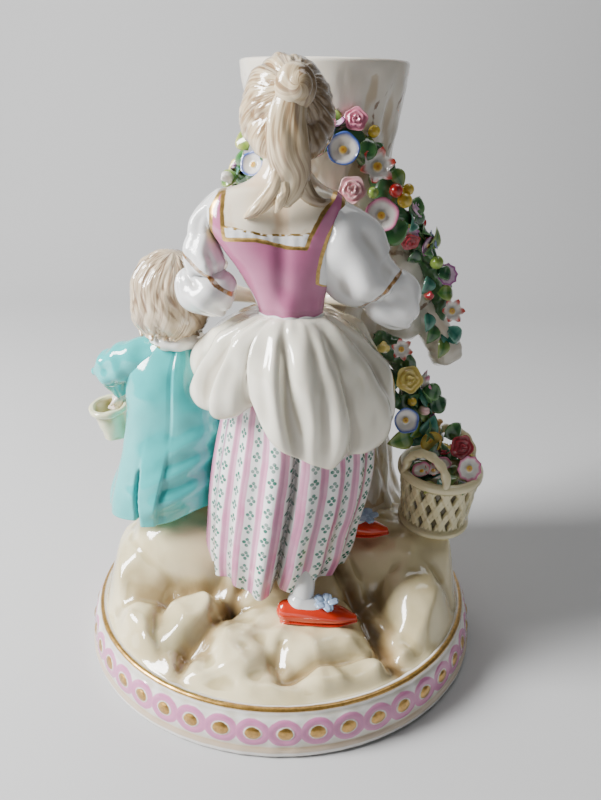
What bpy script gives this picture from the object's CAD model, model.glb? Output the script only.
"""Porcelain figure group, glazed and painted: a girl and a seated boy before a tree-trunk vase.

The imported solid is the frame. Each visible piece is a closed surface worked out from numpy grids, in
millimetres of the model, then scaled to the frame's height. Rows run from one pole of a shape to the
other and columns run round it. Enamel patterns are read from the pieces' own fields and UV maps.
"""

import math

import bpy
import numpy as np
from mathutils import Euler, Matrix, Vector


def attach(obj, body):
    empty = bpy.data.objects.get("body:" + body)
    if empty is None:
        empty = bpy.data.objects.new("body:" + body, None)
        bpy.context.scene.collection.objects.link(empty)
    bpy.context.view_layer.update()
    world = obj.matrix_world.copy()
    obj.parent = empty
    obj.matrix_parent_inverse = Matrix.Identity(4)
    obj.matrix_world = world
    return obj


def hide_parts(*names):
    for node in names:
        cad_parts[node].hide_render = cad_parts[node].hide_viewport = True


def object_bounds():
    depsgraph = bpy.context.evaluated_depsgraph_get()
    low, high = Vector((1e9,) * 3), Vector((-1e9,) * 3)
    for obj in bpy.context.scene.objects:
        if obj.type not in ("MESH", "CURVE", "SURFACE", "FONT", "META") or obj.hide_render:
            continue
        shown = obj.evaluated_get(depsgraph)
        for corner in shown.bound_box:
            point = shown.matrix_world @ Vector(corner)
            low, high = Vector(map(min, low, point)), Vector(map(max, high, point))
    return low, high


bl_info = {
    "name": "Porcelain figure group",
    "version": (1, 0, 0),
    "blender": (4, 5, 0),
    "location": "View3D > Sidebar > Figure group",
    "description": "Builds the glazed and painted surfaces of a porcelain figure group",
    "category": "Add Mesh",
}

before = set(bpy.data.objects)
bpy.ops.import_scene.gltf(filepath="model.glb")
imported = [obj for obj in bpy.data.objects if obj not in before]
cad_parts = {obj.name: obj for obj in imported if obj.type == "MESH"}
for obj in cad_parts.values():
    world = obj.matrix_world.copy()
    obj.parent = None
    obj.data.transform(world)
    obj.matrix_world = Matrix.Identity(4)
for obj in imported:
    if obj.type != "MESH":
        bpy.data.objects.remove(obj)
CAD_LOW, CAD_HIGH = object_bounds()

NODE = "figure_group"
BODY = "root"
MODEL_HEIGHT = 243.5
STEP = (CAD_HIGH.z - CAD_LOW.z) / MODEL_HEIGHT
TURN = 2 * math.pi
FLAT = np.array([1, 1, 0])
UP = np.array([0, 0, 1.0])


# Curves and fields


def eased(keys, values, at):
    """A smooth cubic through values at rising keys; its slope at a key is the mean of both sides."""
    keys = np.asarray(keys, float)
    values = np.asarray(values, float)
    at = np.clip(np.asarray(at, float), keys[0], keys[-1])
    slopes = np.gradient(values, keys, axis=0)
    low = np.clip(np.searchsorted(keys, at, side="right") - 1, 0, len(keys) - 2)
    run = keys[low + 1] - keys[low]
    part = (at - keys[low]) / run
    if values.ndim > 1:
        run, part = run[..., None], part[..., None]
    start = values[low] * (2 * part**3 - 3 * part**2 + 1)
    end = values[low + 1] * (3 * part**2 - 2 * part**3)
    leave = slopes[low] * run * (part**3 - 2 * part**2 + part)
    arrive = slopes[low + 1] * run * (part**3 - part**2)
    return start + end + leave + arrive


def degrees_of(turn):
    """Angles from -180 to 180 degrees, 0 being -Y."""
    return (np.degrees(turn) + 180) % 360 - 180


def eased_round(degrees, values, turn):
    """The same round the axis: values at angles from -180 to 180 degrees meet themselves."""
    keys = np.r_[degrees[-2] - 360, degrees, degrees[1] + 360]
    return eased(keys, np.r_[values[-2], values, values[1]], degrees_of(turn))


def smooth(low, high, value):
    """0 below low, 1 above high, and an S-curve between."""
    part = np.clip((value - low) / (high - low), 0, 1)
    return part * part * (3 - 2 * part)


def bell(value):
    """1 at 0, and e to the power of minus the square away from it."""
    return np.exp(-(value**2))


def off_turn(turn, centre):
    """Signed angle from centre to turn, between minus and plus half a turn."""
    return (turn - centre + math.pi) % TURN - math.pi


def ridge(turn, centre, width):
    """A rounded ridge of height 1 along one angle, which falls off like a bell within its width."""
    return bell(off_turn(turn, centre) / width)


def falls_of(folds, at):
    """Folds side by side, each a (middle, width, height), added up as bells.

    They are measured round the axis in degrees, or in millimetres across a slope shorter than 180.
    """
    total = 0
    for middle, width, height in folds:
        total = total + height * bell(((at - middle + 180) % 360 - 180) / width)
    return total


def ripple(points, size, seed, waves=14):
    """Smooth seeded relief of mean size about 1: a sum of sine waves in random directions."""
    rng = np.random.default_rng(seed)
    ways = rng.normal(size=(waves, 3))
    ways *= rng.uniform(0.6, 1.5, (waves, 1)) * TURN / size / np.linalg.norm(ways, axis=1)[:, None]
    phases = rng.uniform(0, TURN, waves)
    return np.sin(points @ ways.T + phases).sum(-1) / math.sqrt(waves / 2)


def columns(count):
    """The angles of a closed row of columns."""
    return np.arange(count) * TURN / count


# Grids


def joined(*parts):
    """One array of points, or of places in a pattern, from its coordinates."""
    return np.stack(np.broadcast_arrays(*parts), -1)


def joined_rows(*rows):
    """Rows of points stacked into a grid."""
    return np.stack(np.broadcast_arrays(*rows))


def unit_of(vectors):
    vectors = np.asarray(vectors, float)
    return vectors / np.maximum(np.linalg.norm(vectors, axis=-1, keepdims=True), 1e-9)


def lengths_along(path):
    """Length of a bent line from its start to each of its points."""
    return np.r_[0, np.cumsum(np.linalg.norm(np.diff(path, axis=0), axis=1))]


def normals_of(points):
    """Outward normals of a closed grid, from the cross product of its column and row directions."""
    across = np.roll(points, -1, 1) - np.roll(points, 1, 1)
    normal = unit_of(np.cross(across, np.gradient(points, axis=0)))
    away = points - points.mean(axis=1, keepdims=True)
    return normal * (1.0 if (normal * away).sum() > 0 else -1.0)


def swell(points, height):
    """Moves each point of a grid along its own normal by height."""
    return points + normals_of(points) * np.broadcast_to(height, points.shape[:2])[..., None]


def hollow_of(points, reach=4):
    """How far each point lies below the mean of its neighbours some rows and columns away."""
    rows = np.arange(len(points))
    above = points[np.minimum(rows + reach, len(points) - 1)]
    below = points[np.maximum(rows - reach, 0)]
    beside = np.roll(points, reach, 1) + np.roll(points, -reach, 1)
    return (((above + below + beside) / 4 - points) * normals_of(points)).sum(-1)


def tube(path, radii, rows=48, cols=40, up=UP, dome=1.0):
    """Rings across a smooth path, their two half sizes eased along it, closed by domes.

    Gives the points, each row's share of the length, and the columns' angles.
    """
    path = np.array(path, float)
    radii = np.array([np.broadcast_to(radius, 2) for radius in radii], float)
    along = lengths_along(path)
    length = along[-1]
    bend = np.linspace(0, math.pi / 2, 8)[:-1]
    at = np.r_[np.zeros(len(bend)), np.linspace(0, length, rows), np.full(len(bend), length)]
    first = radii[0].min() * dome
    last = radii[-1].min() * dome
    push = np.r_[-first * np.cos(bend), np.zeros(rows), last * np.cos(bend[::-1])]
    shrink = np.r_[np.sin(bend), np.ones(rows), np.sin(bend[::-1])]
    near = length / 500
    ahead = unit_of(eased(along, path, at + near) - eased(along, path, at - near))
    centre = eased(along, path, at) + ahead * push[:, None]
    half = eased(along, radii, at) * shrink[:, None]
    side = unit_of(np.cross(ahead, np.array(up, float)))
    top = np.cross(side, ahead)
    turn = columns(cols)
    points = centre[:, None] + half[:, :1, None] * np.cos(turn)[:, None] * side[:, None]
    points = points + half[:, 1:, None] * np.sin(turn)[:, None] * top[:, None]
    return points, (at / length)[:, None], turn


def directions(rows, cols, pole=UP):
    """Unit directions in rows from a pole to the opposite one, and their angles from it and round it."""
    pole = unit_of(pole)
    first = unit_of(np.cross(pole, [0.0, 1.0, 0.0] if abs(pole[1]) < 0.9 else [1.0, 0.0, 0.0]))
    second = np.cross(pole, first)
    polar = np.linspace(0, math.pi, rows)[:, None]
    turn = columns(cols)
    flat = np.cos(turn)[:, None] * first + np.sin(turn)[:, None] * second
    return np.sin(polar)[..., None] * flat + np.cos(polar)[..., None] * pole, polar, turn


def ball(centre, half, rows=48, cols=64, pole=UP):
    """An ellipsoid: its points, unit directions, the angle from the pole and the angle round it."""
    unit, polar, turn = directions(rows, cols, pole)
    return np.array(centre) + unit * np.array(half), unit, polar, turn


def far_skin(start, unit, centre, half):
    """How far each ray from start goes before it leaves an ellipsoid, or 0 if it misses."""
    way = unit / np.array(half)
    away = (np.array(start) - centre) / np.array(half)
    square = (way**2).sum(-1)
    cross = (way * away).sum(-1)
    under = cross**2 - square * ((away**2).sum() - 1)
    return np.where(under > 0, (np.sqrt(np.maximum(under, 0)) - cross) / square, 0)


def merged(start, unit, lumps, blend=16):
    """Rays from start out to several ellipsoids at once, melted together by a high power mean."""
    reaches = np.stack([np.maximum(far_skin(start, unit, *lump), 1e-3) for lump in lumps])
    top = reaches.max(0)
    return start + unit * (top * ((reaches / top) ** blend).sum(0) ** (1 / blend))[..., None]


def worn(keys, along, at, ends):
    """A profile of (radius, level) keys read off at places along it, softened but for its end points."""
    radii, levels = np.array(keys, float).T
    fine = np.stack([np.interp(at, along, radii), np.interp(at, along, levels)], -1)
    last = len(fine) - ends
    fine[ends:last] = (fine[ends - 1:last - 1] + 2 * fine[ends:last] + fine[ends + 1:last + 1]) / 4
    return fine


def turned(profile, cols):
    """A profile of (radius, level) points turned round the Z axis, and the columns' angles."""
    radius, level = profile[:, :1], profile[:, 1:]
    turn = columns(cols)
    return joined(radius * np.sin(turn), -radius * np.cos(turn), level), turn


def facing(points, place, forward, spin=0.0):
    """Turns points whose +Z is forward to face a direction, spun about it, and sets them in place."""
    rotation = Vector(forward).to_track_quat("Z", "Y").to_matrix()
    rotation = np.array(rotation @ Euler((0, 0, spin)).to_matrix())
    return points @ rotation.T + np.array(place, float)


# Meshes


def six_volumes(corners):
    """Six times the volume under triangles seen from the origin, as a signed sum."""
    return (corners[:, 0] * np.cross(corners[:, 1], corners[:, 2])).sum()


class Shell:
    """Collects closed grids into one mesh. The first and last row of a grid shrink to one vertex each."""

    def __init__(self):
        self.points, self.quads, self.fans = [], [], []
        self.quad_uvs, self.fan_uvs = [], []
        self.fields = {}
        self.count = 0

    def add(self, grid, uv=None, **fields):
        """Adds a grid of (rows, columns, 3); uv is (rows, columns + 1, 2); fields are one value a point."""
        rows, cols = grid.shape[:2]
        inner = np.arange(rows - 2)[:, None] * cols + np.arange(cols) + 1
        beside = np.roll(inner, -1, 1)
        quads = np.stack([inner[:-1], beside[:-1], beside[1:], inner[1:]], -1).reshape(-1, 4)
        low = np.stack([0 * inner[0], beside[0], inner[0]], -1)
        high = np.stack([0 * inner[0] + (rows - 2) * cols + 1, inner[-1], beside[-1]], -1)
        fans = np.concatenate([low, high])
        points = np.concatenate([grid[:1].mean(1), grid[1:-1].reshape(-1, 3), grid[-1:].mean(1)])
        if uv is None:
            uv = joined(np.linspace(0, 1, cols + 1), np.linspace(0, 1, rows)[:, None])
        square = np.stack([uv[1:-2, :-1], uv[1:-2, 1:], uv[2:-1, 1:], uv[2:-1, :-1]], 2).reshape(-1, 4, 2)
        first = np.stack([(uv[0, :-1] + uv[0, 1:]) / 2, uv[1, 1:], uv[1, :-1]], 1)
        final = np.stack([(uv[-1, :-1] + uv[-1, 1:]) / 2, uv[-2, :-1], uv[-2, 1:]], 1)
        fan = np.concatenate([first, final])
        volume = six_volumes(points[quads[:, :3]]) + six_volumes(points[quads[:, [0, 2, 3]]])
        if volume + six_volumes(points[fans]) < 0:
            quads, fans, square, fan = (part[:, ::-1] for part in (quads, fans, square, fan))
        self.quads.append(quads + self.count)
        self.fans.append(fans + self.count)
        self.quad_uvs.append(square)
        self.fan_uvs.append(fan)
        self.points.append(points)
        fields["hollow"] = hollow_of(grid)
        for key, value in fields.items():
            value = np.broadcast_to(value, (rows, cols) + np.shape(value)[2:])
            flat = value[1:-1].reshape(-1, *value.shape[2:])
            parts = np.concatenate([value[:1].mean(1), flat, value[-1:].mean(1)])
            self.fields.setdefault(key, []).append(parts)
        self.count += len(points)
        return self

    def build(self, name, material):
        """Makes the mesh object at the origin, smooth shaded, riding on the frame's body."""
        points = np.concatenate(self.points) * STEP
        quads, fans = np.concatenate(self.quads), np.concatenate(self.fans)
        mesh = bpy.data.meshes.new(name)
        mesh.vertices.add(len(points))
        mesh.vertices.foreach_set("co", points.astype(np.float32).ravel())
        mesh.loops.add(quads.size + fans.size)
        mesh.loops.foreach_set("vertex_index", np.r_[quads.ravel(), fans.ravel()].astype(np.int32))
        mesh.polygons.add(len(quads) + len(fans))
        sizes = np.r_[np.full(len(quads), 4), np.full(len(fans), 3)]
        mesh.polygons.foreach_set("loop_start", np.r_[0, np.cumsum(sizes)[:-1]].astype(np.int32))
        mesh.polygons.foreach_set("loop_total", sizes.astype(np.int32))
        mesh.update(calc_edges=True)
        uvs = np.r_[np.concatenate(self.quad_uvs).ravel(), np.concatenate(self.fan_uvs).ravel()]
        mesh.uv_layers.new(name="pattern").data.foreach_set("uv", uvs.astype(np.float32))
        for key, parts in self.fields.items():
            values = np.concatenate(parts)
            kind, part = ("FLOAT_COLOR", "color") if values.ndim == 2 else ("FLOAT", "value")
            field = mesh.attributes.new(key, kind, "POINT")
            field.data.foreach_set(part, values.astype(np.float32).ravel())
        mesh.shade_smooth()
        mesh.materials.append(material)
        made = bpy.data.objects.new(name, mesh)
        bpy.context.scene.collection.objects.link(made)
        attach(made, BODY)
        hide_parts(NODE)


# Glazes


class Glaze:
    """A glossy glaze whose colour is built from nodes; a node input is a number, a colour or a socket."""

    bump_depth = 0.0004
    bleed = (0.0018, 0.0013, 0.001)

    def __init__(self, name, roughness=0.16, coat=0.7, body=0.12):
        self.material = bpy.data.materials.new(name)
        self.material.use_nodes = True
        self.shader = self.material.node_tree.nodes["Principled BSDF"]
        self.set(self.shader, roughness=roughness, coat_weight=coat, coat_roughness=0.04)
        self.set(self.shader, subsurface_weight=body, subsurface_radius=self.bleed, subsurface_scale=1.0)
        self.place = self.node("TexCoord").outputs["Object"]

    def node(self, kind, **inputs):
        node = self.material.node_tree.nodes.new("ShaderNode" + kind)
        self.set(node, **inputs)
        return node

    def set(self, node, **inputs):
        """Sets or links inputs by their names in small letters, with _ for each space."""
        for key, value in inputs.items():
            self.feed(node.inputs[key.replace("_", " ").title()], value)

    def feed(self, socket, value):
        if isinstance(value, bpy.types.NodeSocket):
            self.material.node_tree.links.new(value, socket)
        elif socket.type == "RGBA":
            socket.default_value = (*value[:3], 1.0)
        else:
            socket.default_value = value

    def feed_all(self, node, values):
        for socket, value in zip(node.inputs, values):
            self.feed(socket, value)
        return node.outputs[0]

    def math(self, operation, *values, clamp=False):
        node = self.node("Math")
        node.operation = operation
        node.use_clamp = clamp
        return self.feed_all(node, values)

    def plus(self, first, second):
        return self.math("ADD", first, second)

    def minus(self, first, second):
        return self.math("SUBTRACT", first, second)

    def times(self, first, second):
        return self.math("MULTIPLY", first, second)

    def over(self, first, second):
        return self.math("DIVIDE", first, second)

    def either(self, first, second):
        return self.math("MAXIMUM", first, second)

    def squares(self, first, second):
        """The sum of two squares."""
        return self.plus(self.times(first, first), self.times(second, second))

    def centred(self, value):
        """The part of value after its whole number, moved to run from -0.5 to 0.5."""
        return self.minus(self.math("FRACT", value), 0.5)

    def field(self, name, output="Fac"):
        node = self.node("Attribute")
        node.attribute_name = name
        return node.outputs[output]

    def uv(self):
        node = self.node("UVMap")
        node.uv_map = "pattern"
        return self.node("SeparateXYZ", vector=node.outputs["UV"]).outputs[:2]

    def vector(self, x, y, z=0.0):
        return self.feed_all(self.node("CombineXYZ"), (x, y, z))

    def noise(self, scale, detail=3.0, where=None, roughness=0.5):
        where = where or self.place
        node = self.node("TexNoise", vector=where, scale=scale, detail=detail, roughness=roughness)
        return node.outputs["Fac"]

    def between(self, value, low, high, least=0.0, most=1.0):
        """Maps value from low..high to least..most along an S-curve; low may be above high."""
        node = self.node("MapRange", value=value, from_min=low, from_max=high, to_min=least, to_max=most)
        node.interpolation_type = "SMOOTHSTEP"
        return node.outputs["Result"]

    def cloudy(self, scale, low, high, least=0.0, most=1.0, detail=3.0):
        """Soft random patches, scale of them a metre, read from low..high to least..most."""
        return self.between(self.noise(scale, detail), low, high, least, most)

    def mix(self, share, first, second):
        node = self.node("Mix")
        node.data_type = "RGBA"
        for index, value in ((0, share), (6, first), (7, second)):
            self.feed(node.inputs[index], value)
        return node.outputs[2]

    def pooled(self, thin, thick, low=-0.12, high=0.22):
        """Glaze colour that is thin on ridges and gathers in hollows, with a little cloudiness."""
        depth = self.between(self.field("hollow"), low, high)
        cloud = self.cloudy(90.0, 0.35, 0.7, -0.12, 0.12)
        return self.mix(self.math("ADD", depth, cloud, clamp=True), thin, thick)

    def near(self, value, width, soft=0.35):
        """1 where the size of value is under width, falling to 0 over the soft edge."""
        return self.between(self.math("ABSOLUTE", value), width, width + soft, 1.0, 0.0)

    def finish(self, colour, gold=None, gold_colour=(0.72, 0.45, 0.13), relief=0.05, height=None):
        """Joins the colour, optional gilding mask and the glaze's fine relief to the shader."""
        if gold is not None:
            worn_off = self.cloudy(700.0, 0.2, 0.75, detail=2.0)
            gilding = self.mix(worn_off, darker(gold_colour, 0.62), gold_colour)
            colour = self.mix(gold, colour, gilding)
            self.set(self.shader, metallic=self.times(gold, 0.85))
            self.set(self.shader, roughness=self.between(gold, 0, 1, 0.14, 0.34))
        height = height or self.noise(260.0, 2.0)
        bump = self.node("Bump", strength=relief, distance=self.bump_depth, height=height)
        self.set(self.shader, base_color=colour, normal=bump.outputs["Normal"])
        return self.material


def darker(colour, share):
    return tuple(share * part for part in colour)


# Plinth and rock


BEAD_HALF_WIDTH = 3.05
BEAD_HALF_HEIGHT = 2.4
BEAD_LEVEL = 10.6
BEAD_RISE = 0.8
LOOP_RISE = 0.28
LOOP_REACH = 1.72
BAND_INSET = 2
COLUMNS_A_BEAD = 12


def plinth_profile(radius):
    """Foot, gilt line, beaded band, gilt lip and ledge, as (radius, level); corners are worn round."""
    keys = [
        (0, 0), (radius - 2.5, 0), (radius - 0.4, 0.5), (radius, 1.4), (radius, 3.2), (radius - 0.5, 4.2),
        (radius - 1.1, 4.7), (radius - 0.8, 5.3), (radius - 1.0, 7.5), (radius - 1.4, 10.5),
        (radius - 2.1, 13.5), (radius - 3.0, 15.8), (radius - 3.8, 16.7), (radius - 4.1, 17.1),
        (radius - 3.9, 17.8), (radius - 4.1, 18.8), (radius - 5.0, 19.5), (radius - 6.4, 19.4),
        (radius - 7.6, 18.7), (radius - 22, 18.4), (0, 18.4),
    ]
    along = lengths_along(keys)
    return worn(keys, along, np.r_[0, np.linspace(along[1] - 6, along[-3] + 4, 58), along[-1]], 2)


def make_plinth(plinth):
    """The profile turned round, with an oval bead and a raised loop round it in each cell of the band."""
    radius = plinth.radius / STEP
    profile = plinth_profile(radius)
    cols = plinth.bead_count * COLUMNS_A_BEAD
    grid, turn = turned(profile, cols)
    level = profile[:, 1:]
    out = (profile[:, :1] > radius - 6.5) & (level > 0.2)
    cell = ((turn - plinth.bead_phase) * plinth.bead_count / TURN + 0.5) % 1 - 0.5
    across = cell * TURN * (radius - BAND_INSET) / plinth.bead_count
    apart = np.hypot(across / BEAD_HALF_WIDTH, (level - BEAD_LEVEL) / BEAD_HALF_HEIGHT)
    loop = LOOP_RISE * bell((apart - LOOP_REACH) / 0.4)
    raised = BEAD_RISE * np.sqrt(np.maximum(1 - apart**2, 0)) + loop
    grid = swell(grid, np.where(out, raised, 0) + 0.05 * ripple(grid, 9, 3) * (level > 0.6))
    spot = np.arange(cols + 1) * plinth.bead_count / cols - plinth.bead_phase * plinth.bead_count / TURN
    lip = smooth(17.9, 18.4, level) * smooth(radius - 6.3, radius - 5.6, profile[:, :1])
    tan = smooth(2.4, 2.9, level) * (1 - smooth(4.7, 5.1, level)) * out
    Shell().add(grid, joined(spot, level), gilt=lip, tan=tan).build("plinth", plinth_glaze(plinth))


def plinth_glaze(plinth):
    """White band with a chain of pink loops round gilt beads, a gilt lip and a thin tan-gold foot line."""
    glaze = Glaze("plinth_glaze")
    spot, level = glaze.uv()
    radius = plinth.radius / STEP - BAND_INSET
    cell = glaze.centred(glaze.plus(spot, 0.5))
    across = glaze.times(cell, TURN * radius / plinth.bead_count / BEAD_HALF_WIDTH)
    rise = glaze.over(glaze.minus(level, BEAD_LEVEL), BEAD_HALF_HEIGHT)
    shaky = glaze.cloudy(160.0, 0.2, 0.8, -0.1, 0.1)
    apart = glaze.plus(glaze.math("SQRT", glaze.squares(across, rise)), shaky)
    band = glaze.times(glaze.between(level, 5.0, 5.5), glaze.between(level, 16.4, 15.9))
    loop = glaze.times(glaze.near(glaze.minus(apart, 1.70), 0.42, 0.22), band)
    deep = glaze.times(glaze.near(glaze.minus(apart, LOOP_REACH), 0.1, 0.25), band)
    bead = glaze.times(glaze.between(apart, 1.06, 0.92), band)
    white = glaze.pooled(plinth.white, (0.66, 0.62, 0.52))
    colour = glaze.mix(glaze.times(loop, 0.9), white, plinth.pink)
    colour = glaze.mix(glaze.times(deep, 0.35), colour, (0.5, 0.17, 0.36))
    colour = glaze.mix(glaze.times(glaze.field("tan"), 0.75), colour, (0.5, 0.35, 0.2))
    gold = glaze.either(bead, glaze.field("gilt"))
    return glaze.finish(colour, gold, (0.62, 0.36, 0.09))


# Humps of rock: middle x and y, half sizes, degrees turned, top, foot, hardness, rise towards +X and +Y
HUMPS = (
    (-42, 0, 28, 27, 0, 58, 34, 6, 0, 0),
    (-56, -3, 28, 33, 0, 48, 22, 3, 0, 0),
    (-36, -41, 16, 17, 20, 36, 24, 2.6, 0.05, 0.1),
    (-58, -42, 21, 20, -35, 30, 21, 2.6, 0.1, 0),
    (-40, -60, 12, 10, -30, 25, 19, 3, 0, 0),
    (-14, -56, 15, 17, 25, 29.5, 20, 3.2, -0.08, 0.08),
    (11, -40, 28, 25, 8, 30.5, 22, 6, 0, 0.06),
    (25, -66, 20, 8, 17, 26, 20, 5, 0, 0.05),
    (57, -22, 19, 33, 14, 44, 21, 2.3, 0, 0.15),
    (52, 4, 35, 29, 0, 49, 30, 7, 0.05, 0),
    (68, 8, 17, 19, 0, 51, 26, 5, 0, 0),
    (2, 0, 42, 34, 0, 47, 30, 4, 0, 0),
    (13, 42, 55, 36, 0, 53, 24, 4, 0, 0),
    (-45, 40, 28, 27, 0, 33, 20, 4, 0, 0),
)
# Clefts: a line of (x, y), its half width and its depth
CLEFTS = (
    (((-14, -20), (-20, -33), (-27, -46), (-36, -56), (-40, -72)), 3.2, 5.0),
    (((20, -14), (27, -24), (36, -36), (41, -48), (44, -58), (50, -66)), 3.4, 6.5),
    (((42, -56), (30, -58.5), (14, -64), (4, -70)), 2.4, 3.0),
    (((-64, -28), (-50, -30.5), (-34, -29), (-17, -25)), 3.2, 2.6),
    (((-46, -30), (-51, -40), (-50, -50), (-44, -62)), 2.6, 2.6),
    (((1, -55), (0, -62), (1, -71)), 2.0, 1.8),
)
ROCK_EDGE = 80.4
ROCK_LEDGE = 18.9
ROCK_FOOT = 16.5
ROCK_MEAN = 25


def from_line(x, y, line):
    """Distance from points to a bent line."""
    spot = joined(x, y)[..., None, :]
    start = np.array(line[:-1], float)
    run = np.array(line[1:], float) - start
    part = np.clip(((spot - start) * run).sum(-1) / (run**2).sum(-1), 0, 1)
    return np.linalg.norm(spot - start - part[..., None] * run, axis=-1).min(-1)


def rock_level(x, y, sharp):
    """Level of the rock and nearness to a cleft.

    Each hump falls from its top by (top - foot) * apart ** hardness, where apart is 1 on a squarish
    oval round its middle. The humps melt into one another as the log of a sum of powers.
    """
    flat = np.hypot(x, y)
    total = np.exp(sharp * (2 - 7 * (flat / 80) ** 5))
    for middle_x, middle_y, half_x, half_y, degrees, top, foot, hard, rise_x, rise_y in HUMPS:
        cos, sin = math.cos(math.radians(degrees)), math.sin(math.radians(degrees))
        right, back = x - middle_x, y - middle_y
        across, along = (cos * right + sin * back) / half_x, (cos * back - sin * right) / half_y
        apart = (np.abs(across) ** 2.6 + np.abs(along) ** 2.6) ** (1 / 2.6)
        level = top + rise_x * right + rise_y * back - (top - foot) * apart**hard
        total = total + np.exp(sharp * (level - ROCK_MEAN))
    level = ROCK_MEAN + np.log(total) / sharp
    cleft = 0
    for line, wide, deep in CLEFTS:
        apart = from_line(x, y, line) / wide
        level = level - deep * bell(apart)
        cleft = np.maximum(cleft, bell(apart / 1.5) * deep / 5)
    points = joined(x, y, 0.6 * level)
    facets = 1.5 * (0.6 - np.abs(ripple(points, 44, 12))) + 0.7 * (0.6 - np.abs(ripple(points, 21, 5)))
    calm = 1 - 0.65 * bell(((x + 42) / 26) ** 2 + ((y + 8) / 28) ** 2)
    calm = calm - 0.5 * bell(((x - 14) / 20) ** 2 + ((y + 42) / 12) ** 2)
    level = level + calm * (facets + 0.16 * ripple(points, 8, 8))
    level = ROCK_LEDGE + (level - ROCK_LEDGE) * smooth(ROCK_EDGE + 0.2, 73.5, flat) ** 0.7
    return np.maximum(level, ROCK_LEDGE), cleft


def make_rock(rock):
    """Rings round the plinth's axis from the top out to the ledge, then under; each point has one level."""
    flat = np.linspace(0, ROCK_EDGE, 92)[:, None]
    turn = columns(304)
    x, y = flat * np.sin(turn), -flat * np.cos(turn)
    level, cleft = rock_level(x, y, rock.sharpness)
    skin = joined(x, y, level)
    foot = skin[-1] * FLAT + ROCK_FOOT * UP
    grid = np.concatenate([skin, [foot, foot * UP]])
    cleft = np.concatenate([cleft, 0 * cleft[-2:]])
    Shell().add(grid, damp=hollow_of(grid, 9), cleft=cleft).build("rock", rock_glaze(rock))


def rock_glaze(rock):
    """Cream glaze washed with tan and brown where it gathers, a green tinge, and a few kiln specks."""
    glaze = Glaze("rock_glaze", 0.15, 0.9)
    base = glaze.pooled(rock.cream, rock.tan, -0.1, 0.6)
    broad = glaze.cloudy(30.0, 0.4, 0.66, 0.0, 0.8, detail=4.0)
    base = glaze.mix(broad, base, rock.tan)
    low = glaze.between(glaze.field("damp"), 0.3, 2.4, 0.0, 0.55)
    base = glaze.mix(low, base, rock.brown)
    patchy = glaze.cloudy(55.0, 0.3, 0.6, 0.25, 0.85)
    base = glaze.mix(glaze.times(glaze.field("cleft"), patchy), base, rock.brown)
    green = glaze.cloudy(31.0, 0.6, 0.78, 0.0, 0.3, detail=2.0)
    base = glaze.mix(green, base, (0.30, 0.33, 0.22))
    speck = glaze.node("TexVoronoi", scale=75.0, vector=glaze.place)
    rare = glaze.cloudy(60.0, 0.6, 0.66, detail=1.0)
    dot = glaze.between(speck.outputs["Distance"], 0.06, 0.03)
    base = glaze.mix(glaze.times(glaze.times(dot, rare), 0.7), base, (0.12, 0.07, 0.04))
    return glaze.finish(base)


# Tree-trunk vase


VASE_MIDDLE = (14.0, 40.0)
TRUNK_BOTTOM = 42.0
TRUNK_LEAN = 6
ROOTS_FREE = 66
ROOTS_PAST = 9
ROOTS_SUNK = 2
ROOTS_SHARE = 0.13


def trunk_radius(share, vase):
    """Outer radius by share of height: spread roots, a waist and a wide rim."""
    keys = [0, 0.07, 0.16, 0.3, 0.5, 0.66, 0.76, 0.84, 0.91, 0.96, 1]
    body = [1.42, 1.2, 1.07, 1.02, 1.03, 0.99, 0.93, 0.9, 0.9, 0.9, 0.9]
    flare = [0, 0, 0, 0, 0, 0, 0.05, 0.25, 0.62, 0.9, 1.0]
    radius = vase.trunk_radius / STEP
    lip = vase.rim_radius / STEP - radius * body[-1]
    return radius * eased(keys, body, share) + lip * eased(keys, flare, share)


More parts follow.
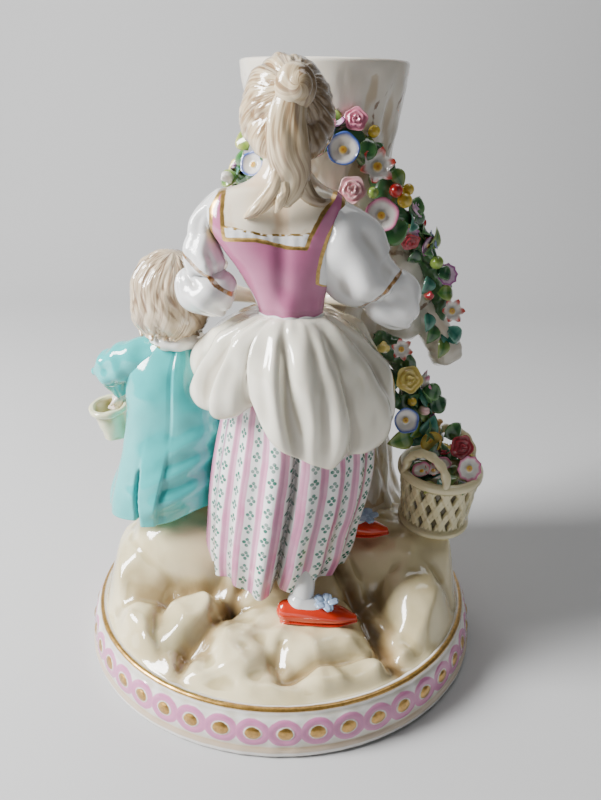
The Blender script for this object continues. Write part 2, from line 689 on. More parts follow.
def make_vase(vase, rock):
    """Outside, lip and well in one profile of levels and insets, from the root up and down to the floor.

    Roots further from the plinth's axis than ROOTS_FREE are drawn in to less than ROOTS_PAST beyond it,
    by 1 minus e to the power of minus their share of it, and the lowest share of the trunk sinks to a
    little under the rock.
    """
    wall = vase.wall / STEP
    lip = wall / 2
    top = CAD_HIGH.z / STEP
    floor = top - vase.depth / STEP
    around = np.linspace(0, math.pi, 13)
    outside = np.linspace(TRUNK_BOTTOM, top - lip, 84)
    inside = np.linspace(top - lip, floor + 4, 36)[1:]
    over_lip, in_lip = lip * np.sin(around[1:-1]), lip - lip * np.cos(around[1:-1])
    level = np.r_[TRUNK_BOTTOM, outside, top - lip + over_lip, inside, floor + 1, floor, floor][:, None]
    inset = np.r_[0, 0 * outside, in_lip, wall + 0 * inside, wall * 1.4, wall * 2.2, wall * 2.2][:, None]
    share = (level - TRUNK_BOTTOM) / (top - TRUNK_BOTTOM)
    turn = columns(150)
    bark = np.sin(5 * turn + 2.2 * share) + 0.6 * np.sin(8 * turn - 3.0 * share + 1.0)
    radius = trunk_radius(share, vase) - inset
    outer = (inset < lip) & (share < 0.97)
    calm = 1 - smooth(0.7, 0.95, share)
    radius = radius + np.where(outer, 0.75 * bark * (1.6 - share) * (0.2 + 0.8 * calm), 0)
    radius[0] = 0
    radius[-1] = 0
    x = VASE_MIDDLE[0] + (1 - share) * TRUNK_LEAN + radius * np.sin(turn)
    grid = joined(x, VASE_MIDDLE[1] - radius * np.cos(turn), level)
    stretched = grid * [1, 1, 0.3]
    rough = 0.45 * ripple(stretched, 11, 21) + 0.2 * ripple(stretched, 5, 22) + 0.7 * ripple(grid, 19, 23)
    knot = 0.9 * ridge(turn, 0.95, 0.2) * bell((share - 0.9) / 0.05)
    grid[1:-1] = swell(grid, np.where(outer, rough * (0.45 + 0.55 * calm) - knot, 0))[1:-1]
    flat = np.hypot(grid[..., 0], grid[..., 1])
    past = np.maximum(0, flat - ROOTS_FREE)
    held = np.minimum(flat, ROOTS_FREE) + ROOTS_PAST * (1 - np.exp(-past / ROOTS_PAST))
    grid[..., :2] *= np.where(past > 0, held / np.maximum(flat, 1), 1)[..., None]
    ground = rock_level(grid[..., 0], grid[..., 1], rock.sharpness)[0]
    sink = np.minimum(0, ground - ROOTS_SUNK - TRUNK_BOTTOM) * smooth(ROOTS_SHARE, 0.0, share) ** 1.5
    grid[1:-1, :, 2] += sink[1:-1]
    shell = Shell().add(grid, vein=vein_distance(turn, level, radius))
    shell.build("tree_trunk_vase", trunk_glaze(vase))
    make_branch(vase)


def vein_distance(turn, level, radius):
    """Distance in millimetres to the nearest of several painted cracks that wander up the bark."""
    starts = ((0.72, 196, 243), (1.05, 150, 236), (1.3, 190, 243), (0.95, 60, 120), (-0.5, 55, 110))
    starts += ((2.2, 140, 238), (3.0, 80, 190), (-2.0, 150, 240), (-1.2, 60, 150), (0.35, 60, 150))
    nearest = np.full(np.broadcast_shapes(turn.shape, level.shape), 9.0)
    for index, (angle, low, high) in enumerate(starts):
        wander = 0.16 * np.sin(level / 9.0 + 2.1 * index) + 0.07 * np.sin(level / 3.7 + index)
        apart = np.abs(off_turn(turn, angle + wander)) * radius
        ends = 3 * (smooth(high - 6, high, level) + 1 - smooth(low, low + 6, level))
        nearest = np.minimum(nearest, apart + ends)
    return nearest


def trunk_glaze(vase):
    """Cream white glaze, warm where it pools, with thin brown cracks that fade in and out."""
    glaze = Glaze("trunk_glaze", 0.15, 0.8)
    base = glaze.pooled(vase.white, vase.shade, -0.1, 0.4)
    wash = glaze.cloudy(28.0, 0.45, 0.75, 0.0, 0.6)
    base = glaze.mix(wash, base, vase.shade)
    wander = glaze.cloudy(420.0, 0.2, 0.8, -0.55, 0.55)
    vein = glaze.between(glaze.plus(glaze.field("vein"), wander), 0.9, 0.25)
    faded = glaze.cloudy(75.0, 0.35, 0.6, 0.1, 0.85, detail=2.0)
    base = glaze.mix(glaze.times(vein, faded), base, vase.bark)
    return glaze.finish(base)


def make_branch(vase):
    """The burl on the trunk's right, melted from rounded lumps, and the sawn branch that turns down."""
    lumps = [((43, 38, 151), (19, 17, 25)), ((34, 39, 170), (13, 13, 18)), ((52, 37, 138), (12, 11, 12))]
    burl = merged((38, 38, 152), directions(52, 72)[0], lumps, 9)
    burl = swell(burl, 0.5 * ripple(burl, 16, 31) + 0.2 * ripple(burl, 6, 32))
    path = [(44, 39, 150), (56, 37.5, 143), (66, 36, 133), (72, 34.8, 124), (74, 34.4, 118.5)]
    branch, share, turn = tube(path, [9.5, 8.4, 7.8, 7.2, 7.0], 44, 44, (0, 1, 0), 0.42)
    ring = 0.35 * bell((share - 0.93) / 0.03) + 0.25 * np.sin(4 * turn + 9 * share)
    branch = swell(branch, ring + 0.25 * ripple(branch, 8, 33))
    shell = Shell()
    for grid in (burl, branch):
        shell.add(grid, vein=np.abs(5 * ripple(grid, 40, 35)))
    shell.build("burl_and_branch", trunk_glaze(vase))


# Shapes shared by both figures


def layers(levels, left, right, near, far, rows, cols, square=2.0):
    """Rings between side lines given at rising levels, each an oval whose corners fill as square grows.

    Also gives share of height and angle.
    """
    share = np.linspace(0, 1, rows)
    at = levels[0] + share * (levels[-1] - levels[0])
    left, right, near, far = (eased(levels, line, at)[:, None] for line in (left, right, near, far))
    turn = columns(cols)
    square = eased(levels, np.broadcast_to(square, len(levels)), at)[:, None]
    reach = (np.abs(np.sin(turn)) ** square + np.abs(np.cos(turn)) ** square) ** (-1 / square)
    x = (left + right) / 2 + (right - left) / 2 * np.sin(turn) * reach
    y = (near + far) / 2 - (far - near) / 2 * np.cos(turn) * reach
    return joined(x, y, at[:, None]), share[:, None], turn


def strands(turn, along, seed, low=18, high=70, count=22, bend=2.5):
    """Relief of combed hair: waves round the axis at whole frequencies, which wind a little on the way."""
    rng = np.random.default_rng(seed)
    total = 0
    for wave in rng.integers(low, high, count):
        phase = rng.uniform(0, TURN) + bend * np.sin(rng.uniform(1, 3) * along + rng.uniform(0, TURN))
        total = total + np.sin(wave * turn + phase)
    return total / math.sqrt(count / 2)


def inside_outline(x, z, corners):
    """Signed distance from points to a closed outline of straight runs, positive inside it."""
    apart = from_line(x, z, (*corners, corners[0]))
    x, z = x[..., None], z[..., None]
    start_x, start_z = np.array(corners, float).T
    end_x, end_z = np.roll(start_x, -1), np.roll(start_z, -1)
    rise = np.where(end_z == start_z, 1, end_z - start_z)
    crossed = start_x + (z - start_z) * (end_x - start_x) / rise
    inside = (((start_z > z) != (end_z > z)) & (x < crossed)).sum(-1) % 2 == 1
    return np.where(inside, apart, -apart)


def plain_glaze(name, thin, thick, low=-0.12, high=0.22, roughness=0.16):
    """One colour of glaze that gathers darker in the hollows."""
    glaze = Glaze(name, roughness)
    return glaze.finish(glaze.pooled(thin, thick, low, high))


def hand(wrist, way, palm, size=1.0, curl=0.9):
    """A half-closed hand at a wrist: the palm, four fingers that curl towards palm, and the thumb."""
    wrist = np.array(wrist, float)
    way = unit_of(way)
    palm = unit_of(palm - (np.array(palm, float) @ way) * way)
    side = np.cross(way, palm)
    at = wrist + way * 3.4 * size
    grids = [tube([wrist, at, at + way * 2.2 * size], np.array([2.7, 3.3, 2.7]) * size, 14, 20, palm, 0.8)[0]]
    knuckles = wrist + way * 5.6 * size
    bent = unit_of(way * (1 - curl) + palm * curl)
    for offset, reach in ((-2.4, 4.6), (-0.8, 5.4), (0.8, 5.2), (2.4, 4.2)):
        root = knuckles + side * offset * size
        middle = root + way * reach * size * 0.5 + palm * 0.6 * size
        path = [root - way * 1.5 * size, middle, middle + bent * reach * size * 0.55]
        grids.append(tube(path, np.array([1.15, 1.05, 0.75]) * size, 12, 12, side)[0])
    root = wrist + way * 2.2 * size - side * 2.6 * size
    tip = root + way * 3.6 * size - side * 0.4 * size + palm * 2.2 * size
    path = [root, (root + tip) / 2 - side * 0.6 * size, tip]
    grids.append(tube(path, np.array([1.4, 1.25, 0.8]) * size, 12, 12, side)[0])
    return grids


HEAD_HALF_HEIGHT = 16.2
# Features of the face, as in make_head, for a head of that half height
FEATURES = (
    (1.9, 0, -2.6, 1.5, 1.6), (1.25, 0, 0.2, 1.1, 2.6), (0.5, 1.3, -3.2, 0.8, 0.8),
    (0.55, 4.8, 3.4, 3.0, 1.0), (-1.15, 4.6, 0.7, 2.6, 1.7), (0.62, 4.7, 0.5, 1.9, 1.1),
    (0.75, 6.8, -4.0, 3.2, 3.0), (-0.55, 0, -9.6, 2.4, 0.5),
    (0.85, 0, -6.6, 2.0, 0.7), (0.85, 0, -8.2, 1.7, 0.75), (-0.75, 0, -7.45, 2.5, 0.28),
    (1.2, 0, -12.0, 3.0, 2.0), (-0.3, 0, -5.2, 0.6, 0.8), (0.5, 0, 9, 6, 4),
)


def make_head(name, centre, half, colours):
    """A calm, plainly modelled head that faces +Y, with its face drawn by distances on its surface.

    The features are bells of (height, across, up, half width, half height): nose, wings, brow, eye
    socket, eye, cheek, chin fold, upper lip, lower lip, mouth line, chin, groove and forehead.
    """
    grid, unit = ball(centre, half, 120, 140)[:2]
    x, y, z = np.moveaxis(unit, -1, 0)
    scale = half[2] / HEAD_HALF_HEIGHT
    across, up = np.abs(x) * half[0] / scale, z * half[2] / scale
    front = smooth(0.05, 0.5, y)
    relief = 0
    for height, x_at, z_at, wide, tall in FEATURES:
        relief = relief + height * bell((across - x_at) / wide) * bell((up - z_at) / tall)
    jaw = smooth(-0.15, -0.9, z) * 0.9
    grid = grid + unit * (relief * front - jaw * smooth(0.25, 0.9, np.abs(x)))[..., None] * scale
    shell = Shell().add(grid, face_across=across, face_up=up, face_front=front)
    for side in (-1, 1):
        spot = np.array(centre) + [side * half[0] * 0.97, -0.5, -1.5 * scale]
        ear, unit = ball(spot, np.array([1.3, 2.2, 3.2]) * scale, 22, 28, (side, 0, 0))[:2]
        dent = bell(unit[..., 1] / 0.4) * bell(unit[..., 2] / 0.5) * smooth(0, 0.6, side * unit[..., 0])
        shell.add(ear - 0.7 * unit * dent[..., None], face_across=20.0, face_up=20.0, face_front=0.0)
    shell.build(name, face_glaze(name + "_glaze", *colours))


def face_glaze(name, skin, shade, brow_colour):
    """Pale skin with soft cheeks, painted brows, lids, eyes and lips in fine strokes."""
    glaze = Glaze(name)
    across = glaze.field("face_across")
    up = glaze.field("face_up")
    front = glaze.between(glaze.field("face_front"), 0.4, 0.7)

    def oval(x_at, z_at, wide, tall):
        one, two = glaze.over(glaze.minus(across, x_at), wide), glaze.over(glaze.minus(up, z_at), tall)
        return glaze.math("SQRT", glaze.squares(one, two))

    def paint(colour, share, enamel):
        return glaze.mix(glaze.times(share, front), colour, enamel)

    colour = glaze.pooled(skin, shade)
    colour = paint(colour, glaze.between(oval(6.4, -4.2, 3.4, 2.8), 1.0, 0.1, 0, 0.55), (0.80, 0.36, 0.27))
    colour = paint(colour, glaze.between(oval(4.7, 0.55, 1.95, 1.0), 1.05, 0.9), (0.84, 0.83, 0.80))
    colour = paint(colour, glaze.between(oval(4.6, 0.6, 0.95, 0.95), 1.05, 0.85), (0.12, 0.22, 0.34))
    colour = paint(colour, glaze.between(oval(4.6, 0.6, 0.42, 0.42), 1.1, 0.8), (0.02, 0.02, 0.02))
    lid = glaze.near(glaze.minus(oval(4.7, 0.35, 2.15, 1.35), 1.0), 0.07, 0.08)
    colour = paint(colour, glaze.times(lid, glaze.between(up, 0.6, 1.0)), (0.16, 0.07, 0.04))
    brow = glaze.near(glaze.minus(oval(4.9, 1.2, 3.4, 2.7), 1.0), 0.06, 0.1)
    brow = glaze.times(brow, glaze.between(up, 2.3, 2.9, 0, 0.8))
    colour = paint(colour, brow, brow_colour)
    upper = glaze.between(oval(0.8, -6.75, 1.5, 0.72), 1.1, 0.85)
    lower = glaze.between(oval(0, -8.1, 1.6, 0.72), 1.1, 0.85)
    colour = paint(colour, glaze.either(upper, lower), (0.66, 0.13, 0.10))
    colour = paint(colour, glaze.between(oval(0, -7.42, 2.4, 0.17), 1.3, 0.7, 0, 0.8), (0.35, 0.04, 0.04))
    return glaze.finish(colour)


def hair_glaze(name, hair, shade, brown_from):
    """Thin blond glaze over combed relief, with strokes along the strands, browner towards +X."""
    glaze = Glaze(name, 0.17, 0.8)
    colour = glaze.pooled(hair, shade, -0.03, 0.22)
    across, along = glaze.uv()
    along = glaze.times(along, 0.05)
    strokes = glaze.noise(1.0, 2.0, glaze.vector(glaze.times(across, 0.85), along), 0.6)
    bands = glaze.noise(1.0, 2.0, glaze.vector(glaze.times(across, 0.22), along, 3.0))
    patch = glaze.between(bands, 0.36, 0.6, 0.2, 1.0)
    dark = glaze.times(glaze.between(strokes, 0.42, 0.58, 0.0, 0.95), patch)
    colour = glaze.mix(dark, colour, shade)
    pale = glaze.between(strokes, 0.42, 0.3, 0.0, 0.4)
    colour = glaze.mix(pale, colour, tuple(0.35 + 0.6 * part for part in hair))
    to_right = glaze.node("SeparateXYZ", vector=glaze.place).outputs[0]
    brown = glaze.between(to_right, brown_from * STEP, (brown_from + 12) * STEP, 0.0, 0.85)
    colour = glaze.mix(brown, colour, darker(shade, 0.5))
    return glaze.finish(colour, relief=0.3, height=glaze.minus(1.0, strokes))


def combed(grid, around, length):
    """Pattern places in millimetres round and along a grid, so strokes can run along its rows."""
    rows, cols = grid.shape[:2]
    across, down = np.linspace(0, around, cols + 1), np.linspace(0, length, rows)[:, None]
    return joined(across + 0.8 * np.sin(down / 6) + 0.5 * np.sin(down / 2.7 + 1), down)


def lock(path, radii, seed, rows=50, cols=40, depth=0.07):
    """A tress: a smooth tube along its path, combed lengthwise; gives its grid and its pattern."""
    grid, share, turn = tube(path, radii, rows, cols, (0, 1, 0), 0.9)
    size = np.array([np.broadcast_to(radius, 2) for radius in radii], float).mean(-1)
    keys = np.linspace(0, 1, len(size))
    comb = strands(turn, share * 4, seed, 3, 12, 7)
    grid = swell(grid, comb * depth * eased(keys, size, share) / size.max() * np.sqrt(size.max()))
    return grid, combed(grid, TURN * size.mean(), lengths_along(path)[-1])


# Girl


# Outline of the bared neck and back, as (x, z)
NECK_OPENING = (
    (-21.1, 199.5), (-21.7, 192.5), (-21.1, 185.5), (-20.6, 182.9), (-9.7, 183.2), (0.4, 180.9),
    (7.8, 180.4), (9.1, 184.4), (12.6, 191.1), (16.1, 195.6), (18.5, 200), (30, 230), (-40, 230),
)


def make_torso(girl):
    """Neck, shoulders and laced bodice in one surface, painted by distances to its gilt lines."""
    levels = [150, 156, 164, 172, 180, 186, 192, 196, 198.5, 200.5, 203, 206, 210, 218]
    left = [-8, -8.5, -12.5, -17.5, -23, -26.6, -27.4, -25.8, -22, -16, -11.5, -8.8, -7.8, -7.5]
    right = [14, 14.3, 15.5, 17.5, 19, 20.5, 21.5, 21, 18, 14, 11, 8.8, 8.2, 8.2]
    near = [-35, -35.5, -35.5, -35.5, -35, -34.2, -32.5, -31, -30, -29.5, -29.2, -29, -28.8, -28]
    far = [-17, -16, -12, -8.5, -7.5, -8.5, -10.5, -12, -13, -13.5, -13.8, -13.8, -13.5, -12.5]
    square = [2, 2, 2.2, 2.6, 3.2, 3.4, 3.2, 3.0, 2.8, 2.4, 2.1, 2, 2, 2]
    grid = layers(levels, left, right, near, far, 132, 180, square)[0]
    x, y, z = np.moveaxis(grid, -1, 0)
    back = smooth(-18, -26, y)
    blades = bell((np.abs(x + 0.5) - 11) / 5.5) * bell((z - 189) / 6)
    spine = -0.9 * bell((x + 0.8) / 3) * smooth(158, 168, z) * smooth(200, 190, z)
    folds = 0.35 * np.sin(x / 1.6 + 0.5) * smooth(166, 154, z)
    bust = 2.6 * bell((np.abs(x) - 8) / 6) * bell((z - 181) / 7.5) * smooth(-22, -14, y)
    opening = inside_outline(x, z, NECK_OPENING)
    frill_top = np.interp(x, [-19.8, -6.2, 6.6, 9.5], [187.1, 184.8, 185.1, 185.6]) - z
    frill = smooth(0, 0.4, opening) * smooth(-0.2, 0.5, frill_top)
    scallop = 0.25 * np.abs(np.sin(x / 1.1)) * frill
    step = 0.5 * smooth(0.3, -0.3, opening)
    waist_edge = 155.6 + 0.5 * np.abs(np.sin(x / 1.7)) - z
    hem = 0.5 * smooth(-0.2, 0.3, waist_edge)
    relief = back * (blades + spine + folds) + bust + 0.65 * frill - scallop + step + hem
    grid = swell(grid, relief)
    levels = [163, 167, 169, 174, 180, 185.4, 192.5, 198]
    left = x - np.interp(z, levels, [-34, -22, -17.6, -20.6, -23.8, -25.6, -25.4, -22.4])
    levels = [161, 165, 167.7, 172.8, 178.6, 184.7, 192.9, 198]
    right = np.interp(z, levels, [34, 17, 11.9, 12.1, 13.4, 15.2, 20.0, 20.6]) - x
    arm = np.minimum(left, right)
    shell = Shell().add(grid, opening=opening, frill_top=frill_top, arm=arm, waist=waist_edge)
    shell.build("girl_bodice", bodice_glaze(girl))


def bodice_glaze(girl):
    """Mauve bodice edged in gilt, white frill with a broken gilt line, and pale skin above."""
    glaze = Glaze("bodice_glaze")
    opening = glaze.field("opening")
    frill_top = glaze.field("frill_top")
    arm = glaze.field("arm")
    cloth = glaze.pooled(girl.bodice, darker(girl.bodice, 0.62), -0.25, 0.35)
    skin = glaze.pooled(girl.skin, girl.skin_shade)
    colour = glaze.mix(glaze.between(opening, -0.05, 0.05), cloth, skin)
    frill = glaze.times(glaze.between(opening, 0, 0.1), glaze.between(frill_top, -0.05, 0.05))
    colour = glaze.mix(frill, colour, girl.linen)
    edge = glaze.between(glaze.field("waist"), -0.1, 0.1)
    colour = glaze.mix(edge, colour, girl.linen)
    linen = glaze.between(arm, 0.05, -0.05)
    colour = glaze.mix(linen, colour, girl.linen)
    wobble = glaze.cloudy(230.0, 0.3, 0.7, -0.12, 0.12)
    neckline = glaze.near(glaze.plus(opening, wobble), 0.6, 0.18)
    neckline = glaze.times(neckline, glaze.between(arm, -0.2, 0.0))
    armhole = glaze.near(glaze.plus(arm, wobble), 0.6, 0.18)
    armhole = glaze.times(armhole, glaze.between(opening, 0.2, -0.1))
    dashes = glaze.cloudy(480.0, 0.42, 0.56, detail=1.0)
    broken = glaze.times(glaze.near(glaze.plus(frill_top, wobble), 0.32, 0.15), dashes)
    broken = glaze.times(broken, glaze.between(opening, 0, 0.2))
    return glaze.finish(colour, glaze.either(glaze.either(neckline, armhole), broken))


# Gilt bands: a place on the band, the direction across it, how far it reaches, its half width
SLEEVE_BANDS = (
    ((-27.4, -27.0, 169.8), (-0.60, 0.1, -0.80), 12.5, 0.75),
    ((37.2, -20.2, 167.4), (0.707, 0.15, -0.707), 15.0, 0.85),
    ((-27.0, -15.2, 161.5), (0.1, 0.95, -0.25), 12.0, 0.8),
    ((38.0, -10.2, 157.5), (-0.25, 0.95, -0.1), 12.0, 0.8),
)


def from_bands(grid):
    """Distance in half widths from points to the nearest plane of a sleeve band, within its reach."""
    nearest = np.full(grid.shape[:2], 9.0)
    for centre, way, reach, half in SLEEVE_BANDS:
        away = grid - np.array(centre)
        apart = np.abs(away @ unit_of(way)) / half
        nearest = np.minimum(nearest, np.where(np.linalg.norm(away, axis=-1) < reach, apart, 9.0))
    return nearest


def make_sleeves(girl):
    """Full upper sleeves gathered into a gilt band, a puff below each, the forearms and hands."""
    linen = Shell()
    left = [(-22.5, -18.5, 195.5), (-29.6, -18.5, 188), (-29.8, -19.5, 181), (-29.4, -22, 175.4)]
    left_radii = [(3.6, 6.5), (4.9, 8.2), (5.6, 8.8), (7.0, 9.2), (7.6, 8.8)]
    right = [(14, -22, 193), (19.6, -22.6, 186.5), (24.2, -23, 177.8), (29.2, -22.2, 170.4)]
    right_radii = [(5.5, 6), (9.6, 10), (12.9, 12.8), (13.2, 12.6), (9.8, 10.2)]
    pulls = ((left + [(-27.6, -24, 170.6)], left_radii), (right + [(36.4, -20.8, 165.6)], right_radii))
    for index, (path, radii) in enumerate(pulls):
        grid, share, turn = tube(path, radii, 58, 98, (0, 1, 0), 0.5)
        gathers = np.sin(7 * turn + 1.6 * np.sin(3 * share + index)) + 0.6 * np.sin(12 * turn + 2 * index)
        gathers = gathers * (0.30 * smooth(0.7, 1.0, share) + 0.2 * smooth(0.2, 0.02, share))
        drape = 0.75 * ripple(grid * [1, 1, 0.45], 17, 41 + index)
        drape = (drape + 0.45 * np.sin(5 * turn + 2.6 * share + 2 * index)) * smooth(0.05, 0.4, share)
        grid = swell(grid, gathers + drape)
        linen.add(grid, band=from_bands(grid))
    puffs = (
        ((-28.6, -24.0, 162.4), (11.4, 10.6, 9.2), (-0.6, 0.0, 0.8)),
        ((40.4, -19.8, 160.2), (11.4, 10.8, 12.0), (-0.7, 0.0, 0.7)),
    )
    for index, (centre, half, pole) in enumerate(puffs):
        grid, unit, polar, turn = ball(centre, half, 60, 100, pole)
        gathers = np.sin(7 * turn + 1.5 * np.cos(polar) + index) + 0.7 * np.sin(11 * turn + 3 * index)
        gathers = gathers * (0.12 + 0.38 * np.cos(polar) ** 2)
        grid = grid + unit * (gathers + 0.6 * ripple(grid, 15, 51 + index))[..., None]
        linen.add(grid, band=from_bands(grid))
    linen.build("girl_sleeves", linen_glaze(girl))
    arms = Shell()
    left = [(-27, -20, 162), (-26, -8, 158.5), (-19, 3, 154.5), (-12, 8, 152)]
    right = [(38, -14, 158.5), (33.5, -3, 156), (24.5, 5, 153), (17.5, 8.5, 152)]
    for path, palm in ((left, (0.3, 0.6, -0.75)), (right, (-0.3, 0.6, -0.75))):
        arms.add(tube(path, [5.2, 4.6, 3.4, 2.6], 36, 36)[0])
        for grid in hand(path[-1], np.subtract(path[-1], path[-2]), palm):
            arms.add(grid)
    arms.build("girl_arms", plain_glaze("girl_skin_glaze", girl.skin, girl.skin_shade))


def linen_glaze(girl):
    """Cool white linen with the bands in worn brown gold."""
    glaze = Glaze("linen_glaze")
    colour = glaze.pooled(girl.linen, girl.linen_shade, -0.1, 0.4)
    shaky = glaze.cloudy(190.0, 0.3, 0.7, -0.25, 0.25)
    band = glaze.between(glaze.plus(glaze.field("band"), shaky), 1.15, 0.8)
    rubbed = glaze.cloudy(420.0, 0.35, 0.6, 0.55, 1.0)
    return glaze.finish(colour, glaze.times(band, rubbed), (0.50, 0.26, 0.08))


# Points of each tress with its two half sizes
TRESSES = (
    ((3, -36, 231, 4.8, 3.2), (0.8, -37.4, 223, 6.6, 3.8), (1.4, -37.6, 213, 7.2, 3.8),
     (2.4, -35.6, 205, 6.4, 3.4), (1.8, -35.4, 200, 4.6, 2.8), (0.6, -36.2, 196, 2.2, 1.6)),
    ((-1, -35, 216, 2.4, 2.2), (-1.4, -36, 207, 3.4, 2.6), (-3.2, -36.2, 201, 3.3, 2.5),
     (-7, -35.8, 196, 2.8, 2.2), (-11, -35, 192.4, 1.9, 1.5), (-13.3, -34.5, 190.8, 0.7, 0.7)),
    ((4.2, -35, 216, 2.2, 2.2), (4.8, -35.4, 207, 3.0, 2.6), (6.6, -34, 201, 3.1, 2.4),
     (9.8, -32.6, 197.2, 2.4, 2.0), (13.2, -31.4, 195.8, 1.6, 1.3), (15.8, -30.6, 196.6, 0.6, 0.6)),
    ((0.6, -36.4, 205, 2.6, 2.0), (-0.4, -37.2, 199, 2.4, 1.8), (-1.9, -37.4, 195, 1.5, 1.2),
     (-2.7, -37, 193.2, 0.5, 0.5)),
)


def make_girl_hair(girl):
    """Hair combed back from the face to a coiled knot, and four tresses that end in curls."""
    knot = np.array([3.4, -37.0, 232.7])
    middle = np.array([0.5, -22.8, 227.0])
    unit, polar, turn = directions(104, 222, knot - middle)
    lumps = [
        ((0.5, -22.8, 227), (15.3, 14.6, 15.4)),
        ((-10.2, -22.5, 222), (5.8, 9, 8.0)),
        ((11.6, -21.5, 221.6), (5.6, 9, 8.6)),
        ((0.5, -22, 236), (10, 9, 6.4)),
        ((-5.5, -28, 217), (6.8, 8.6, 7.5)),
        ((7.6, -27.5, 216.5), (6.6, 8.4, 7.5)),
    ]
    grid = merged(middle, unit, lumps, 18)
    fade = smooth(0.1, 0.5, polar) * smooth(0.0, 0.5, math.pi - polar)
    sweep = 1.3 * np.sin(1.4 * polar)
    wind = turn + 0.12 * sweep
    comb = strands(wind, polar * 2.2, 61, 6, 22, 14)
    fine = strands(wind, polar * 2.2, 62, 24, 52, 20)
    partings = -0.8 * ridge(wind, 0.85, 0.09) + 0.7 * ridge(wind, 1.15, 0.2) + 0.5 * ridge(wind, 0.45, 0.2)
    partings = partings - 0.7 * ridge(wind, 3.55, 0.09) + 0.6 * ridge(wind, 3.2, 0.2)
    partings = partings - 0.35 * ridge(wind, 5.6, 0.07) - 0.35 * ridge(wind, 4.6, 0.07)
    grid = swell(grid, (0.13 * comb + 0.05 * fine + partings * smooth(2.3, 1.0, polar)) * fade)
    shell = Shell().add(grid, combed(grid, 94, 48))
    lumps = [
        (knot, (6.8, 3.9, 7.5)),
        (knot + [-0.4, -0.4, 0.5], (6.2, 4.3, 6.9)),
        (knot + [1.1, -2.6, 0.4], (4.3, 3.1, 4.7)),
    ]
    grid = merged(knot + [0.6, -1.0, 0.3], directions(60, 96, (0.1, -1, 0.1))[0], lumps, 40)
    pattern = combed(grid, 18, 12)
    pattern[..., 0] += 0.9 * pattern[..., 1]
    shell.add(grid, pattern)
    for index, tress in enumerate(TRESSES):
        points = np.array(tress)
        shell.add(*lock(points[:, :3], points[:, 3:], 70 + 3 * index))
    shell.build("girl_hair", hair_glaze("girl_hair_glaze", girl.hair, girl.hair_shade, 0))
    colours = (girl.skin, girl.skin_shade, girl.hair_shade)
    make_head("girl_head", (0.5, -19.2, 223.6), (12.4, 14.6, HEAD_HALF_HEIGHT), colours)


OVERSKIRT_ANGLES = [-180, -120, -95, -70, -50, -36, -27, -18, 5, 16, 29, 36, 47, 60, 82, 100, 140, 180]
OVERSKIRT_REACH = [33, 39, 40, 39, 37, 34.8, 31.5, 32.5, 34, 36, 37.5, 38, 40, 42, 43.5, 41.5, 37, 33]
OVERSKIRT_LOW = [
    124, 126, 123, 117.5, 117, 121, 125.5, 117, 105.8, 102.6, 100.8, 103, 102.8, 103.5, 109.5, 117, 124, 124,
]
# Folds: degrees at the waist and at the rim, width, height
OVERSKIRT_FOLDS = (
    (-13, -2, 6, 2.0), (-7, 8, 5, -2.3), (6, 19, 7, 1.5), (19, 25, 4, -0.8), (27, 32, 6, 1.3),
    (35, 47, 6.5, -3.2), (52, 64, 9, 2.0), (67, 77, 6, -1.3), (80, 88, 9, 1.5), (-44, -50, 6, 1.5),
    (-52, -60, 5, -1.8), (-62, -74, 7, 1.8), (-76, -87, 5, -1.6), (-90, -102, 8, 1.8), (104, 106, 7, -1.0),
    (118, 116, 10, 1.8), (142, 138, 10, 1.6), (166, 164, 10, 1.6), (-170, -168, 9, 1.8),
    (-145, -146, 10, 1.8), (-121, -126, 8, 1.4),
)
OVERSKIRT_TOP = 155.5
OVERSKIRT_WAIST = 10.5


